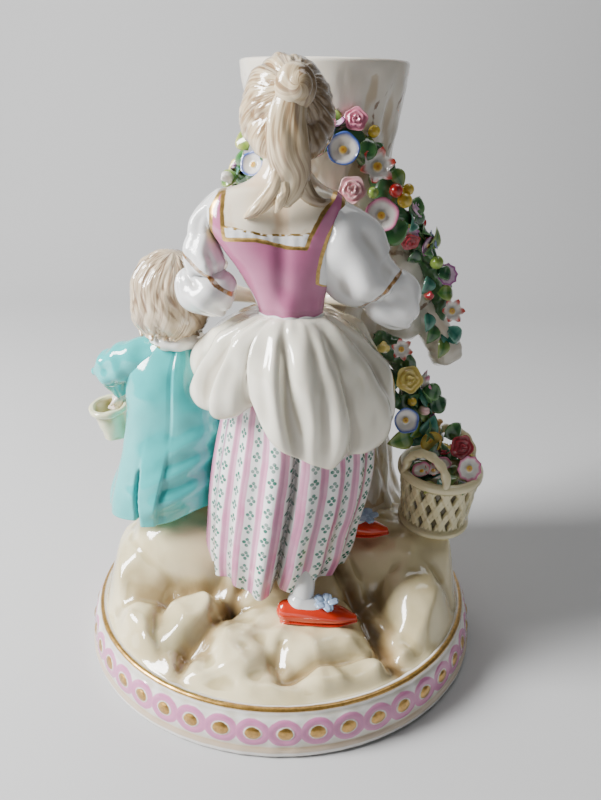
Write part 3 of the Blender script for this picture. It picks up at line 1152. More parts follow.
def make_overskirt(girl):
    """The tucked-up overskirt: rings from the waist out, down and under its rim, with falling folds."""
    turn = columns(316)
    path = np.linspace(0, 1, 100)[:, None]
    keys = np.linspace(0, 1, 9)
    near_wide = eased(keys, [0.0, 0.26, 0.60, 0.85, 0.98, 1.0, 0.95, 0.8, 0.45], path)
    side_wide = eased(keys, [0.0, 0.16, 0.40, 0.66, 0.89, 1.0, 0.96, 0.8, 0.45], path)
    wide = near_wide + (side_wide - near_wide) * np.sin(turn) ** 2
    drop = eased(keys, [0.0, 0.03, 0.15, 0.34, 0.58, 0.80, 0.95, 1.0, 0.92], path)
    reach = eased_round(OVERSKIRT_ANGLES, OVERSKIRT_REACH, turn)
    low = eased_round(OVERSKIRT_ANGLES, OVERSKIRT_LOW, turn)
    degrees = degrees_of(turn)
    falls = falls_of(((top + (rim - top) * drop, *size) for top, rim, *size in OVERSKIRT_FOLDS), degrees)
    folds = 1.25 * falls * np.sin(math.pi * np.clip(drop * 0.86 + 0.04, 0, 1)) ** 0.8
    gather = 0.4 * np.cos(19 * turn + 0.7 + 3 * drop) * bell((drop - 0.04) / 0.09)
    cleft = -29.7 + 5 * drop
    overlap = smooth(cleft - 1.2, cleft + 0.4, degrees) * smooth(60, 0, degrees) * smooth(0.05, 0.5, drop)
    radius = OVERSKIRT_WAIST + (reach - OVERSKIRT_WAIST) * wide + folds + gather
    radius = radius + 2.0 * overlap - smooth(0.1, 0.6, drop)
    x = 3.0 - wide + radius * np.sin(turn)
    y = -25.5 + 9.5 * wide - radius * np.cos(turn)
    grid = joined(x, y, OVERSKIRT_TOP - drop * (OVERSKIRT_TOP - low))
    drape = 0.6 * ripple(grid * [1, 1, 0.6], 24, 81) + 0.3 * ripple(grid * [1, 1, 0.5], 11, 82)
    grid = swell(grid, drape * smooth(0.02, 0.3, drop))
    rim = smooth(0.93, 0.985, drop) * smooth(0.80, 0.70, path)
    glaze = Glaze("overskirt_glaze", 0.13, 0.9)
    colour = glaze.pooled(girl.overskirt, girl.overskirt_shade, -0.15, 0.5)
    colour = glaze.mix(glaze.between(glaze.field("rim"), 0.5, 1.0, 0.0, 0.3), colour, (0.36, 0.24, 0.14))
    Shell().add(grid, rim=rim).build("girl_overskirt", glaze.finish(colour))


# Pleats: degrees, width, height
SKIRT_FOLDS = (
    (-80, 8, 2.4), (-58, 8, 2.6), (-38, 7, 2.0), (-13, 9, 3.6), (13, 8, 2.3), (33, 8, 2.6), (55, 8, 2.3),
    (76, 8, 2.6), (0.5, 3.2, -5.2), (98, 8, 2.2), (120, 8, 2.4), (142, 8, 2.2), (164, 8, 2.4),
    (-174, 8, 2.2), (-152, 8, 2.4), (-128, 8, 2.2), (-104, 8, 2.4),
)


def make_skirt(girl):
    """The striped skirt: rings from waist to hem and back up inside, with deep pleats."""
    levels = [42, 50, 62, 76, 90, 105, 120, 136, 152]
    left = [-29.8, -30.4, -30, -29.2, -27.6, -25, -21.5, -15, -8]
    right = [25.5, 28.5, 31, 34.5, 36.5, 35.5, 30, 22, 13]
    near = [-42.5, -44, -44.5, -44.5, -43.5, -42, -40.5, -38, -35]
    far = [14, 17, 19, 19, 17, 13, 6, -6, -15]
    grid, share, turn = layers(levels, left, right, near, far, 92, 368)
    degrees = degrees_of(turn)
    turned_in = 4 * (1 - share)
    folds = (
        (angle - turned_in * math.sin(math.radians(2 * angle)), width * (0.8 + 0.35 * share), height)
        for angle, width, height in SKIRT_FOLDS
    )
    falls = falls_of(folds, degrees)
    grid = grid + joined(np.sin(turn), -np.cos(turn), 0) * (1.2 * falls * (1 - share) ** 0.8)[..., None]
    low = np.exp(-(((degrees + 15) / 17) ** 4)) + 0.5 * bell((degrees - 17) / 9)
    grid[..., 2] += (3.0 - 3.4 * low - 0.25 * falls + np.sin(2 * turn + 0.4)) * (1 - share) ** 5
    hem = grid[0]
    outward = unit_of((hem - hem.mean(0)) * FLAT)
    bend = np.linspace(0, math.pi / 2, 6)[1:, None, None]
    round_hem = hem - outward * (1 - np.cos(bend)) - UP * np.sin(bend) * 0.7
    inside = hem - outward * 2.6 + UP * 2.0
    middle = inside.mean(0)
    roof = joined_rows(0.72 * inside + 0.28 * middle + UP * 16, middle + UP * 18)
    top = np.broadcast_to(grid[-1].mean(0), hem.shape)
    grid = np.concatenate([[top], grid[::-1], round_hem, [inside], roof])
    level = share[::-1, 0] * (levels[-1] - levels[0]) + levels[0]
    level = np.r_[level[0], level, np.full(5, 42.0), 40.0, 20.0, 18.0][:, None]
    spot = np.arange(len(hem) + 1) * girl.stripe_count / len(hem)
    Shell().add(grid, joined(spot, level)).build("girl_skirt", skirt_glaze(girl))


# Width of a stripe with its gap, how far each column of sprigs is shifted, and a sprig's dots as (x, z)
STRIPE_WIDTH = 7.6
SPRIG_SHIFT = 0.37
SPRIG_DOTS = ((0.1, 1.6), (-1.0, 0.3), (1.0, 0.4), (0.0, -1.1))


def skirt_glaze(girl):
    """White glaze with mauve stripes and, in each white stripe, sprigs of four green dots."""
    glaze = Glaze("skirt_glaze")
    spot, level = glaze.uv()
    wave = glaze.cloudy(38.0, 0.3, 0.7, -0.06, 0.06)
    spot = glaze.plus(spot, wave)
    cell = glaze.centred(spot)
    colour = glaze.pooled(girl.skirt, (0.62, 0.60, 0.58), -0.2, 0.5)
    brushed = glaze.cloudy(120.0, 0.3, 0.75, 0.75, 1.0)
    stripe = glaze.times(glaze.near(cell, 0.185, 0.05), brushed)
    colour = glaze.mix(stripe, colour, girl.stripe)
    deep = glaze.times(glaze.near(glaze.plus(cell, 0.06), 0.05, 0.07), 0.6)
    colour = glaze.mix(deep, colour, darker(girl.stripe, 0.6))
    beside = glaze.plus(spot, 0.5)
    shift = glaze.math("FRACT", glaze.times(glaze.math("FLOOR", beside), SPRIG_SHIFT))
    rows = glaze.plus(glaze.over(level, girl.sprig_gap), shift)
    across = glaze.times(glaze.centred(beside), STRIPE_WIDTH)
    above = glaze.times(glaze.centred(rows), girl.sprig_gap)
    faint = glaze.cloudy(330.0, 0.3, 0.62, 0.7, 1.0, detail=1.0)
    for x, z in SPRIG_DOTS:
        dot = glaze.between(glaze.squares(glaze.minus(across, x), glaze.minus(above, z)), 0.7, 0.44)
        colour = glaze.mix(glaze.times(dot, faint), colour, girl.sprig)
    shade = glaze.between(glaze.field("hollow"), 0.0, 0.45, 0.0, 0.5)
    return glaze.finish(glaze.mix(shade, colour, (0.26, 0.20, 0.22)))


def shoe_grids(heel, length):
    """A low-heeled pointed shoe along +X from its heel: the upper, its sole and the heel block."""
    x, y, z = heel
    path = [(x, y, z + 4.8), (x + 0.25 * length, y, z + 4.8), (x + 0.55 * length, y, z + 4.0)]
    path += [(x + 0.82 * length, y, z + 2.9), (x + length, y, z + 1.9)]
    upper = tube(path, [(4.0, 4.6), (4.9, 5.0), (5.3, 4.0), (4.4, 2.9), (2.0, 1.5)], 48, 48)[0]
    rise = upper[..., 2] - z
    upper[..., 2] = z + np.where(rise < 1.0, 1.0 + (rise - 1.0) * 0.12, rise)
    path = [(x - 0.6, y, z + 1.0), (x + 0.4 * length, y, z + 0.7)]
    path += [(x + 0.8 * length, y, z + 0.6), (x + length + 1.0, y, z + 0.7)]
    sole = tube(path, [(3.4, 0.9), (4.4, 0.9), (4.4, 0.9), (1.6, 0.8)], 60, 48)[0]
    path = [(x + 0.6, y, z + 2.5), (x + 0.2, y, z - 1.4)]
    return upper, sole, tube(path, [(3.4, 3.6), (2.9, 3.0)], 12, 30, (0, 1, 0), 0.2)[0]


# Loops and tails of a bow: (degrees, length, lift)
BOW_LOOPS = ((8, 3.8, 0.5), (78, 3.0, 1.0), (150, 3.6, 0.9), (215, 3.4, 0.3), (290, 3.6, 0.1))


def bow_grids(centre, size):
    """A tied bow: loops and short tails as softly ribbed petals round a knot."""
    centre = np.array(centre, float)
    grids = [ball(centre, (1.3 * size, 1.5 * size, 1.2 * size), 18, 22)[0]]
    for degrees, long, lift in BOW_LOOPS:
        way = np.array([math.cos(math.radians(degrees)), math.sin(math.radians(degrees)), lift * 0.6])
        path = [centre, centre + way * long * 0.55 * size, centre + way * long * size - 0.3 * UP]
        radii = np.array([(0.7, 0.5), (1.9, 0.8), (1.5, 0.6)]) * size
        grid = tube(path, radii, 24, 24)[0]
        grids.append(swell(grid, 0.14 * size * np.sin(5 * columns(24))))
    return grids


def make_girl_feet(girl):
    """White stockings, vermilion shoes and their blue bows."""
    legs = Shell()
    near = [(8, -32, 66), (8.6, -36, 55), (9.1, -40, 46), (9, -42.8, 36)]
    far = [(24, -4, 78), (27, -6, 68), (29, -8, 60), (28, -8, 54)]
    for path, radii in ((near, [6.6, 6.0, 5.2, 4.8]), (far, [7, 5.8, 5, 4.8])):
        legs.add(tube(path, radii, 36, 36, (0, 1, 0))[0])
    legs.add(tube([(8, -43, 38.5), (14, -43.8, 36), (20, -44.3, 33)], [5.0, 4.6, 3.2], 28, 30)[0])
    legs.add(tube([(27, -8, 57), (32, -8, 55), (38, -8, 52.5)], [4.8, 4.4, 3.0], 28, 30)[0])
    legs.build("girl_stockings", plain_glaze("stocking_glaze", girl.linen, girl.linen_shade))
    shoes, bows = Shell(), Shell()
    for grid in shoe_grids((2.6, -44.4, 30.2), 27.6) + shoe_grids((19, -8, 49.6), 26.5):
        shoes.add(grid)
    for grid in bow_grids((18.6, -45.6, 39.4), 1.15) + bow_grids((37, -9, 58.5), 1.15):
        bows.add(grid)
    shoes.build("girl_shoes", plain_glaze("shoe_glaze", girl.shoes, darker(girl.shoes, 0.6), -0.1, 0.4))
    bows.build("girl_bows", plain_glaze("bow_glaze", girl.bows, darker(girl.bows, 0.45), -0.1, 0.2))


# Boy


def make_coat(boy):
    """The turquoise coat: rings from the hem, slit behind, up to the shoulders, and its two sleeves."""
    levels = [57, 62, 68, 78, 92, 104, 116, 126, 133, 139]
    left = [-77.5, -77.2, -76, -73, -68.6, -65.8, -65.2, -63, -57, -50]
    right = [-27, -27, -27, -26, -25, -24, -23.5, -25, -29, -35]
    near = [-23, -23, -23, -21.5, -20, -19, -18, -15.5, -12.5, -11]
    far = [14, 14, 14, 14, 13, 12, 11, 9, 5, 3]
    grid, share, turn = layers(levels, left, right, near, far, 104, 204)
    degrees = degrees_of(turn)
    z = grid[..., 2]
    slit = -19.0 - 8 * smooth(58, 84, z)
    low = smooth(85, 76, z)
    notch = 5.5 * bell((degrees - slit) / 1.9) * low
    proud = 1.6 * smooth(0.2, 2.2, degrees - slit) * smooth(75, 0, degrees) * smooth(100, 70, z)
    slope = z - 0.42 * (grid[..., 0] + 50)
    falls = falls_of(((68, 4.5, 1.6), (81, 4.0, 1.3), (92, 5.0, 1.5), (104, 6, 0.9)), slope)
    falls = falls * smooth(-30, 15, degrees) * smooth(150, 60, degrees)
    back = 1.1 * np.sin(2.6 * turn + 0.4 + z / 17.0) + 0.6 * ripple(grid * [1, 1, 0.6], 30, 91)
    back = back + 0.1 * ripple(grid * [1, 1, 0.8], 11, 94)
    pleats = 0.9 * np.cos(7 * turn + 0.6) * smooth(96, 60, z) * smooth(40, 90, np.abs(degrees))
    grid = swell(grid, falls + 0.8 * back + pleats + proud - notch)
    hem_turn = (1 - share) ** 4
    lift = 6.6 + 4.0 * np.sin(turn + 0.1) - 2.2 * smooth(0, 3, degrees - slit) * smooth(40, 10, degrees)
    gap = 13 * bell((degrees - slit) / 1.5)
    grid[..., 2] += (lift + gap * 0.5) * hem_turn
    hem = grid[0]
    outward = unit_of((hem - hem.mean(0)) * FLAT)
    bend = np.linspace(0, math.pi / 2, 5)[1:, None, None]
    edge = hem - outward * (1 - np.cos(bend)) * 0.9 - UP * 0.8 * np.sin(bend)
    under = [hem * UP + hem.mean(0) * FLAT, hem - outward * 3.0 - UP * 0.3]
    shell = Shell().add(np.concatenate([under, edge[::-1], grid]))
    path = [(-52, -3, 130), (-60, -2.5, 128.2), (-68, -0.5, 124.8), (-75, 1.2, 121.4), (-79.8, 2, 120.2)]
    sleeve, share, turn = tube(path, [7.5, 8.2, 8.4, 6.8, 2.2], 70, 72, (0, 1, 0), 0.7)
    wrinkles = 0.5 * np.sin(17 * share + 1.5 * np.sin(turn)) * smooth(0.3, 0.7, share)
    shell.add(swell(sleeve, wrinkles + 0.3 * ripple(sleeve, 10, 92)))
    path = [(-73.5, 3.0, 120), (-72, 6.0, 115), (-70.8, 8.5, 110.5)]
    cuff, share, turn = tube(path, [6.4, 5.8, 5.2], 34, 56, (0, 1, 0), 0.15)
    shell.add(swell(cuff, 0.35 * np.sin(5 * turn + 5 * share)))
    path = [(-33, -3, 129), (-27, 5, 119), (-27.5, 15, 106), (-34, 23, 95.5)]
    sleeve, share, turn = tube(path, [7.4, 7.4, 6.4, 5.4], 70, 60, (1, 0, 0), 0.3)
    shell.add(swell(sleeve, 0.45 * np.sin(19 * share + 1.2 * np.sin(turn)) + 0.3 * ripple(sleeve, 9, 93)))
    shell.build("boy_coat", plain_glaze("coat_glaze", boy.coat, darker(boy.coat, 0.55), -0.35, 0.75, 0.12))


def make_boy_hair(boy):
    """Combed hair that falls from the crown and ends all round in short turned-up curls."""
    unit, polar, turn = directions(96, 208, (0.16, -0.12, 1))
    lumps = [
        ((-46.4, -1.8, 156.4), (15.3, 15.2, 16.6)),
        ((-47.4, -4.4, 150.6), (13.8, 13.0, 12.6)),
        ((-44, -5.2, 149.5), (13.4, 12.2, 11.0)),
    ]
    grid = merged(np.array([-46.6, -1.8, 155.5]), unit, lumps, 14)
    fade = smooth(0.06, 0.45, polar) * smooth(0.0, 0.5, math.pi - polar)
    sweep = 0.45 * np.sin(1.6 * polar)
    comb = strands(turn + sweep, polar * 2.4, 101, 7, 26, 16, 1.8)
    fine = strands(turn + sweep, polar * 2.4, 102, 30, 80, 20, 1.8)
    waves = 0.35 * np.sin(5.0 * polar + 3 * np.sin(2 * turn)) * smooth(0.8, 1.8, polar)
    grid = swell(grid, (0.2 * comb + 0.06 * fine + waves) * fade)
    shell = Shell().add(grid, combed(grid, 98, 50))
    rng = np.random.default_rng(111)
    base = np.array([-46.4, -2.2, 0])
    radii = [(2.6, 1.5), (2.8, 1.6), (2.0, 1.3), (0.8, 0.7)]
    for index, degrees in enumerate(np.linspace(-128, 128, 17)):
        angle = math.radians(degrees + rng.uniform(-4, 4))
        out = np.array([math.sin(angle), -math.cos(angle), 0])
        drop = rng.uniform(-1.4, 1.4)
        side = np.cross(out, UP) * rng.choice([-1, 1]) * rng.uniform(1.0, 2.4)
        places = ((12.0, 0, 152), (12.8, 0.2, 146.5), (11.2, 0.7, 142.2 + drop), (11.9, 1.8, 140.6 + drop))
        path = [base + out * away + side * beside + UP * level for away, beside, level in places]
        shell.add(*lock(path, radii, 120 + 2 * index, 24, 26))
    shell.build("boy_hair", hair_glaze("boy_hair_glaze", boy.hair, boy.hair_shade, -42))
    colours = (boy.skin, boy.skin_shade, boy.hair_shade)
    make_head("boy_head", (-46.5, 1.8, 153.2), (14.4, 15.2, 16.8), colours)


BOY_GROUND = 30.4


def make_boy_body(boy):
    """Collar, neck, hands, breeches, stockings and shoes: the far side, kept plain."""
    grid, unit, polar, turn = ball((-43.6, -4.2, 137.2), (11.2, 10.2, 4.8), 50, 96)
    grid = grid + unit * (0.3 * np.sin(8 * turn) * np.sin(polar))[..., None]
    edge = np.where(grid[..., 0] < -49, np.abs(grid[..., 2] - 135.9), 4.0)
    glaze = Glaze("collar_glaze")
    white = glaze.pooled(boy.linen, boy.linen_shade)
    gilt = glaze.between(glaze.field("edge"), 0.9, 0.6)
    Shell().add(grid, edge=edge).build("boy_collar", glaze.finish(white, gilt))
    skin = Shell()
    skin.add(tube([(-45.5, 0, 132), (-46, 1, 144)], [6.6, 6.2], 16, 28, (0, 1, 0))[0])
    skin.add(tube([(-72.6, 5, 114), (-71.6, 7.4, 108.5)], [3.2, 2.8], 16, 24, (0, 1, 0))[0])
    skin.add(tube([(-34, 23, 96), (-38, 26.5, 90.5)], [3.4, 2.9], 16, 24, (1, 0, 0))[0])
    grips = (
        ((-71.6, 7.4, 108.5), (-0.25, 0.1, -1), (-0.9, 0.1, 0.1)),
        ((-38, 26.5, 90.5), (-0.75, 0.6, -0.8), (0.2, -0.6, -0.7)),
    )
    for wrist, way, palm in grips:
        for grid in hand(wrist, way, palm, 0.92):
            skin.add(grid)
    skin.build("boy_hands", plain_glaze("boy_skin_glaze", boy.skin, boy.skin_shade))
    breeches, stockings, shoes = Shell(), Shell(), Shell()
    for hip, knee in ((-58, -56), (-36, -35)):
        path = [(hip, 2, 70), (knee, 18, 71), (knee, 31, 69), (knee, 36.5, 62)]
        grid, share, turn = tube(path, [11.5, 10.2, 8.6, 6.8], 50, 56, (1, 0, 0), 0.5)
        breeches.add(swell(grid, 0.5 * np.sin(11 * share + np.sin(turn)) + 0.3 * np.sin(5 * turn)))
        path = [(knee, 35.5, 64), (knee, 38.5, 53), (knee, 40.5, 44), (knee, 41, 36)]
        stockings.add(tube(path, [6.4, 6.2, 4.6, 4.2], 34, 34)[0])
        path = [(knee, 36.8, 35), (knee, 42.5, 35.5), (knee, 48.5, 33.6), (knee, 54.5, 31.6)]
        grid = tube(path, [(4.4, 4.8), (4.8, 4.6), (4.4, 3.3), (1.9, 1.5)], 34, 34)[0]
        grid[..., 2] = np.maximum(grid[..., 2], BOY_GROUND + 0.1 * (grid[..., 2] - BOY_GROUND))
        shoes.add(grid)
    breeches.build("boy_breeches", plain_glaze("breeches_glaze", boy.breeches, darker(boy.breeches, 0.6)))
    stockings.build("boy_stockings", plain_glaze("boy_stocking_glaze", boy.linen, boy.linen_shade))
    shoes.build("boy_shoes", plain_glaze("boy_shoe_glaze", boy.shoes, (0.03, 0.015, 0.01)))


# Pail and basket


PAIL_PLACE = (-74.5, 8.0, 88.0)
BASKET_PLACE = (70.5, 7.0, 49.0)
BASKET_LEAN = 1.5
STRIP_SHARE = 0.5


def make_pail(pail):
    """The small pail in the boy's hand: a tapered wall with a thick rim round its well."""
    radius, foot, height = pail.radius / STEP, pail.foot_radius / STEP, pail.height / STEP
    wall = pail.wall / STEP
    keys = [
        (0, 0), (foot * 0.8, 0), (foot, 0.4), (foot + 0.1, 1.4), (radius - 0.9, height - 3.6),
        (radius - 0.2, height - 2.8), (radius + 0.6, height - 2.1), (radius + 0.7, height - 0.7),
        (radius + 0.1, height), (radius - wall * 0.8, height), (radius - wall * 1.2, height - 1.0),
        (foot - wall, wall + 0.8), (foot - wall - 0.8, wall), (0, wall),
    ]
    grid = turned(worn(keys, np.linspace(0, 1, len(keys)), np.linspace(0, 1, 84), 1), 80)[0]
    lean = np.array(Euler((pail.tilt_forward, -pail.tilt_left, 0)).to_matrix())
    grid = swell(grid, 0.12 * ripple(grid, 6, 131)) @ lean.T + PAIL_PLACE
    glaze = plain_glaze("pail_glaze", pail.colour, (0.42, 0.38, 0.15), -0.15, 0.3)
    Shell().add(grid).build("boy_pail", glaze)


def make_basket(basket):
    """The flared basket: two families of strips cross over dark gaps, between a foot and a thick rim."""
    rim, foot, height = basket.rim_radius / STEP, basket.foot_radius / STEP, basket.height / STEP
    keys = [
        (0, 0), (foot - 0.8, 0), (foot + 0.5, 0.3), (foot + 1.1, 1.2), (foot + 1.0, 2.6), (foot + 0.1, 3.5),
        (foot - 0.3, 4.2), (foot + 1.6, height * 0.62), (rim - 1.9, height - 5.2), (rim - 1.2, height - 4.2),
        (rim - 0.1, height - 3.6), (rim, height - 1.6), (rim - 0.6, height - 0.4), (rim - 1.8, height),
        (rim - 3.0, height - 0.6), (rim - 3.6, height - 2.4), (rim - 4.6, height - 6), (0, height - 6.5),
    ]
    along = lengths_along(keys)
    at = np.r_[0, np.linspace(along[1], along[-2], 106), along[-1]]
    profile = worn(keys, along, at, 2)
    grid, turn = turned(profile, 288)
    level = profile[:, 1:]
    outer = (at <= along[8])[:, None]
    spot = turn * basket.strip_count / TURN
    rise = level / (TURN * foot * 1.12 / basket.strip_count)
    ways = (np.abs((spot + lean * rise) % 1 - 0.5) * 2 for lean in (0.5, -0.5))
    one, two = (smooth(STRIP_SHARE + 0.07, STRIP_SHARE - 0.02, way) for way in ways)
    woven = np.maximum(one * (1 + 0.12 * np.sin(TURN * (spot - rise * 0.5))), two)
    body = smooth(3.8, 4.6, level) * smooth(height - 4.4, height - 5.2, level) * outer
    gap = (1 - np.maximum(one, two)) * body
    relief = -1.9 * gap + 0.45 * (woven - 1) * body * (1 - gap) + 0.35 * one * two * body
    twist = np.sin(46 * turn + 2.2 * level) * outer * smooth(height - 4.4, height - 3.4, level)
    grid = swell(grid, relief + 0.2 * twist) * [1, basket.lengthening, 1] + BASKET_PLACE
    grid[..., 0] -= BASKET_LEAN * np.clip(1 - level / height, 0, 1)
    shell = Shell().add(grid, gap=gap)
    share = np.linspace(0, 1, 9)[:, None]
    for angle in (-0.68, 2.6):
        ends = angle + np.array([-0.62, 0.62])
        x, y = (rim - 1.7) * np.sin(ends), -(rim - 1.7) * basket.lengthening * np.cos(ends)
        first, last = joined(x, y, height - 1.5) + BASKET_PLACE
        path = (first + last) / 2 - (last - first) / 2 * np.cos(math.pi * share)
        path = path + UP * basket.handle_rise / STEP * np.sin(math.pi * share) ** 0.85
        grid, way, turn = tube(path, [1.9] * 9, 50, 24)
        shell.add(swell(grid, 0.22 * np.sin(2 * turn + 40 * way)), gap=0.0)
    glaze = Glaze("basket_glaze", 0.18)
    colour = glaze.pooled(basket.colour, (0.50, 0.44, 0.24), -0.12, 0.35)
    colour = glaze.mix(glaze.between(glaze.field("gap"), 0.4, 0.95, 0.0, 0.9), colour, (0.10, 0.08, 0.04))
    shell.build("basket", glaze.finish(colour))


# Garland


WHITE = (0.84, 0.82, 0.77)
YELLOW = (0.78, 0.52, 0.07)
# Colours of a flower: its petals, then their edges, or the depth between the rings of a rose
ENAMELS = {
    "pink": ((0.78, 0.30, 0.40), (0.60, 0.08, 0.20)),
    "rose": ((0.84, 0.52, 0.52), (0.68, 0.12, 0.22)),
    "red": (WHITE, (0.58, 0.05, 0.03)),
    "blue": (WHITE, (0.06, 0.13, 0.48)),
    "blush": (WHITE, (0.78, 0.22, 0.40)),
    "yellow": ((0.80, 0.66, 0.18), (0.62, 0.40, 0.05)),
    "crimson": ((0.48, 0.03, 0.05), (0.22, 0.01, 0.02)),
    "mauve": ((0.72, 0.52, 0.68), (0.42, 0.12, 0.36)),
    "orange": ((0.82, 0.44, 0.12), (0.62, 0.10, 0.02)),
}
LEAF_ENAMELS = (
    ((0.05, 0.17, 0.03), (0.36, 0.46, 0.12)), ((0.02, 0.11, 0.03), (0.14, 0.32, 0.10)),
    ((0.02, 0.15, 0.11), (0.16, 0.40, 0.30)), ((0.16, 0.26, 0.03), (0.58, 0.58, 0.20)),
    ((0.01, 0.07, 0.03), (0.09, 0.22, 0.08)),
)


PETALS = {"cup": 5, "star": 6, "rose": 3, "daisy": 9}
CUP_DEPTHS = {"cup": 0.5, "star": 0.42, "rose": 1.0, "daisy": 0.35}
BLOOM_SIZES = {"cup": 4.8, "star": 5.4, "rose": 4.3, "daisy": 4.8, "bud": 3.0, "berry": 2.4}
BERRIES = {"green": (0.30, 0.46, 0.08), "crimson": (0.50, 0.02, 0.02), "yellow": (0.70, 0.50, 0.05)}


def painted(share, first, second):
    """Two colours mixed by a share at each point of a grid, with full strength as a fourth value."""
    share = share[..., None]
    colour = np.array(first) * (1 - share) + np.array(second) * share
    return np.concatenate([colour, np.ones_like(share)], -1)


def bloom(kind, enamel, spin, rows):
    """A flower of radius 1 open towards +Z: inside of the cup, rim, outside. Gives points and colours.

    Each kind rises with the square of its radius, its reach waves with its petals, and a rose is coiled
    in three rings of its own.
    """
    turn = columns(27) + spin
    outer = np.linspace(1, 0, 6)[1:]
    radius = np.r_[np.linspace(0, 1, rows), outer][:, None]
    back = np.r_[np.zeros(rows), np.ones(len(outer))][:, None]
    wave = np.cos(PETALS[kind] * turn)
    tip = np.abs(((turn * PETALS[kind] / TURN) % 1) - 0.5) * 2
    tint = smooth(0.72, 0.88, radius)
    if kind == "cup":
        rise = 0.06 + 0.42 * radius**2 + 0.05 * wave * radius**2
        reach = 1 + 0.025 * wave
        tint = smooth(0.70, 0.92, radius)
    elif kind == "star":
        reach = 1 - 0.40 * (1 - tip) ** 1.1
        rise = 0.05 + 0.30 * radius**2 + 0.14 * (tip - 0.5) * radius**2
        tint = smooth(0.6, 0.85, radius) * smooth(0.25, 0.75, tip)
    elif kind == "daisy":
        reach = 1 - 0.2 * (1 - tip) ** 2
        rise = 0.04 + 0.16 * radius**2 - 0.1 * (1 - tip) ** 2 * radius
    else:
        inmost = 0.32 + 0.06 * np.cos(3 * turn)
        middle = 0.66 + 0.07 * np.cos(4 * turn + 1)
        outmost = (radius - middle) / (1.02 - middle)
        coil = np.where(radius < middle, (radius - inmost) / (middle - inmost), outmost)
        coil = np.where(radius < inmost, radius / inmost, coil)
        reach = 1 + 0.07 * np.cos(5 * turn + 2)
        rise = 0.66 - 0.40 * radius**2 + 0.30 * coil**1.5 + 0.03 * wave * radius
        tint = 0.8 * (1 - coil) ** 2
    boss = 0.16 * smooth(0.27, 0.2, radius) * (kind != "rose")
    rise = (rise + boss) * (1 - back) + back * (rise - 0.1 - CUP_DEPTHS[kind] * (1 - radius) ** 1.4)
    wide = radius * (1 + (reach - 1) * smooth(0.2, 0.9, radius)) * (1 + 0.02 * back)
    points = joined(wide * np.cos(turn), wide * np.sin(turn), rise)
    paint = painted(np.clip(np.broadcast_to(tint, wide.shape), 0, 1), *ENAMELS[enamel])
    if kind != "rose":
        heart = painted(smooth(0.13, 0.07, radius), YELLOW, (0.50, 0.16, 0.02))
        share = (smooth(0.29, 0.22, radius) * (1 - back))[..., None]
        paint = paint * (1 - share) + heart * share
    return points, paint


def leaf_form(enamel, arch):
    """A pointed leaf of length 1 along +X, arched and folded at its midrib, paler towards its edge."""
    along = np.linspace(0, 1, 9)[:, None]
    turn = columns(8)
    half = 0.36 * np.sin(math.pi * along**0.75) ** 0.9
    y = half * np.cos(turn)
    z = 0.045 * np.sin(turn) * np.sin(math.pi * along) ** 0.4 + arch * np.sin(math.pi * along)
    z = z + 0.28 * np.abs(y) - 0.10 * along**3
    edge = smooth(0.35, 1.0, np.abs(np.cos(turn))) * smooth(0.0, 0.35, along)
    return joined(along, y, z), painted(np.maximum(edge, smooth(0.8, 1.0, along)), *enamel)


class Posy:
    """Sets flowers, leaves, buds and berries on the garland and keeps them in one shell."""

    def __init__(self, seed):
        self.rng = np.random.default_rng(seed)
        self.blooms = Shell()
        self.leaves = Shell()

    def flower(self, kind, enamel, place, forward, size):
        if kind == "berry":
            grid, unit, polar, turn = ball((0, 0, 0.5), (0.9, 0.9, 1.0), 10, 14)
            paint = painted(smooth(0.5, 0.15, polar), BERRIES[enamel], darker(BERRIES[enamel], 0.5))
        elif kind == "bud":
            grid, unit, polar, turn = ball((0, 0, 0.7), (0.62, 0.62, 1.1), 12, 16)
            grid = grid + unit * (0.1 * np.sin(3 * turn + 3 * polar) * np.sin(polar))[..., None]
            share = smooth(0.9, 2.4, polar + 0.2 * np.sin(3 * turn))
            paint = painted(share, ENAMELS[enamel][0], (0.16, 0.30, 0.07))
        else:
            grid, paint = bloom(kind, enamel, self.rng.uniform(0, TURN), 16 if kind == "rose" else 11)
            grid = grid + 0.15 * UP
        self.blooms.add(facing(grid * size, place, forward, self.rng.uniform(0, TURN)), paint=paint)

    def leaf(self, place, forward, way, length, enamel):
        forward = unit_of(forward)
        way = unit_of(way - (np.array(way) @ forward) * forward)
        grid, paint = leaf_form(LEAF_ENAMELS[enamel], self.rng.uniform(0.06, 0.2))
        self.leaves.add(grid * length @ np.stack([way, np.cross(forward, way), forward]) + place, paint=paint)


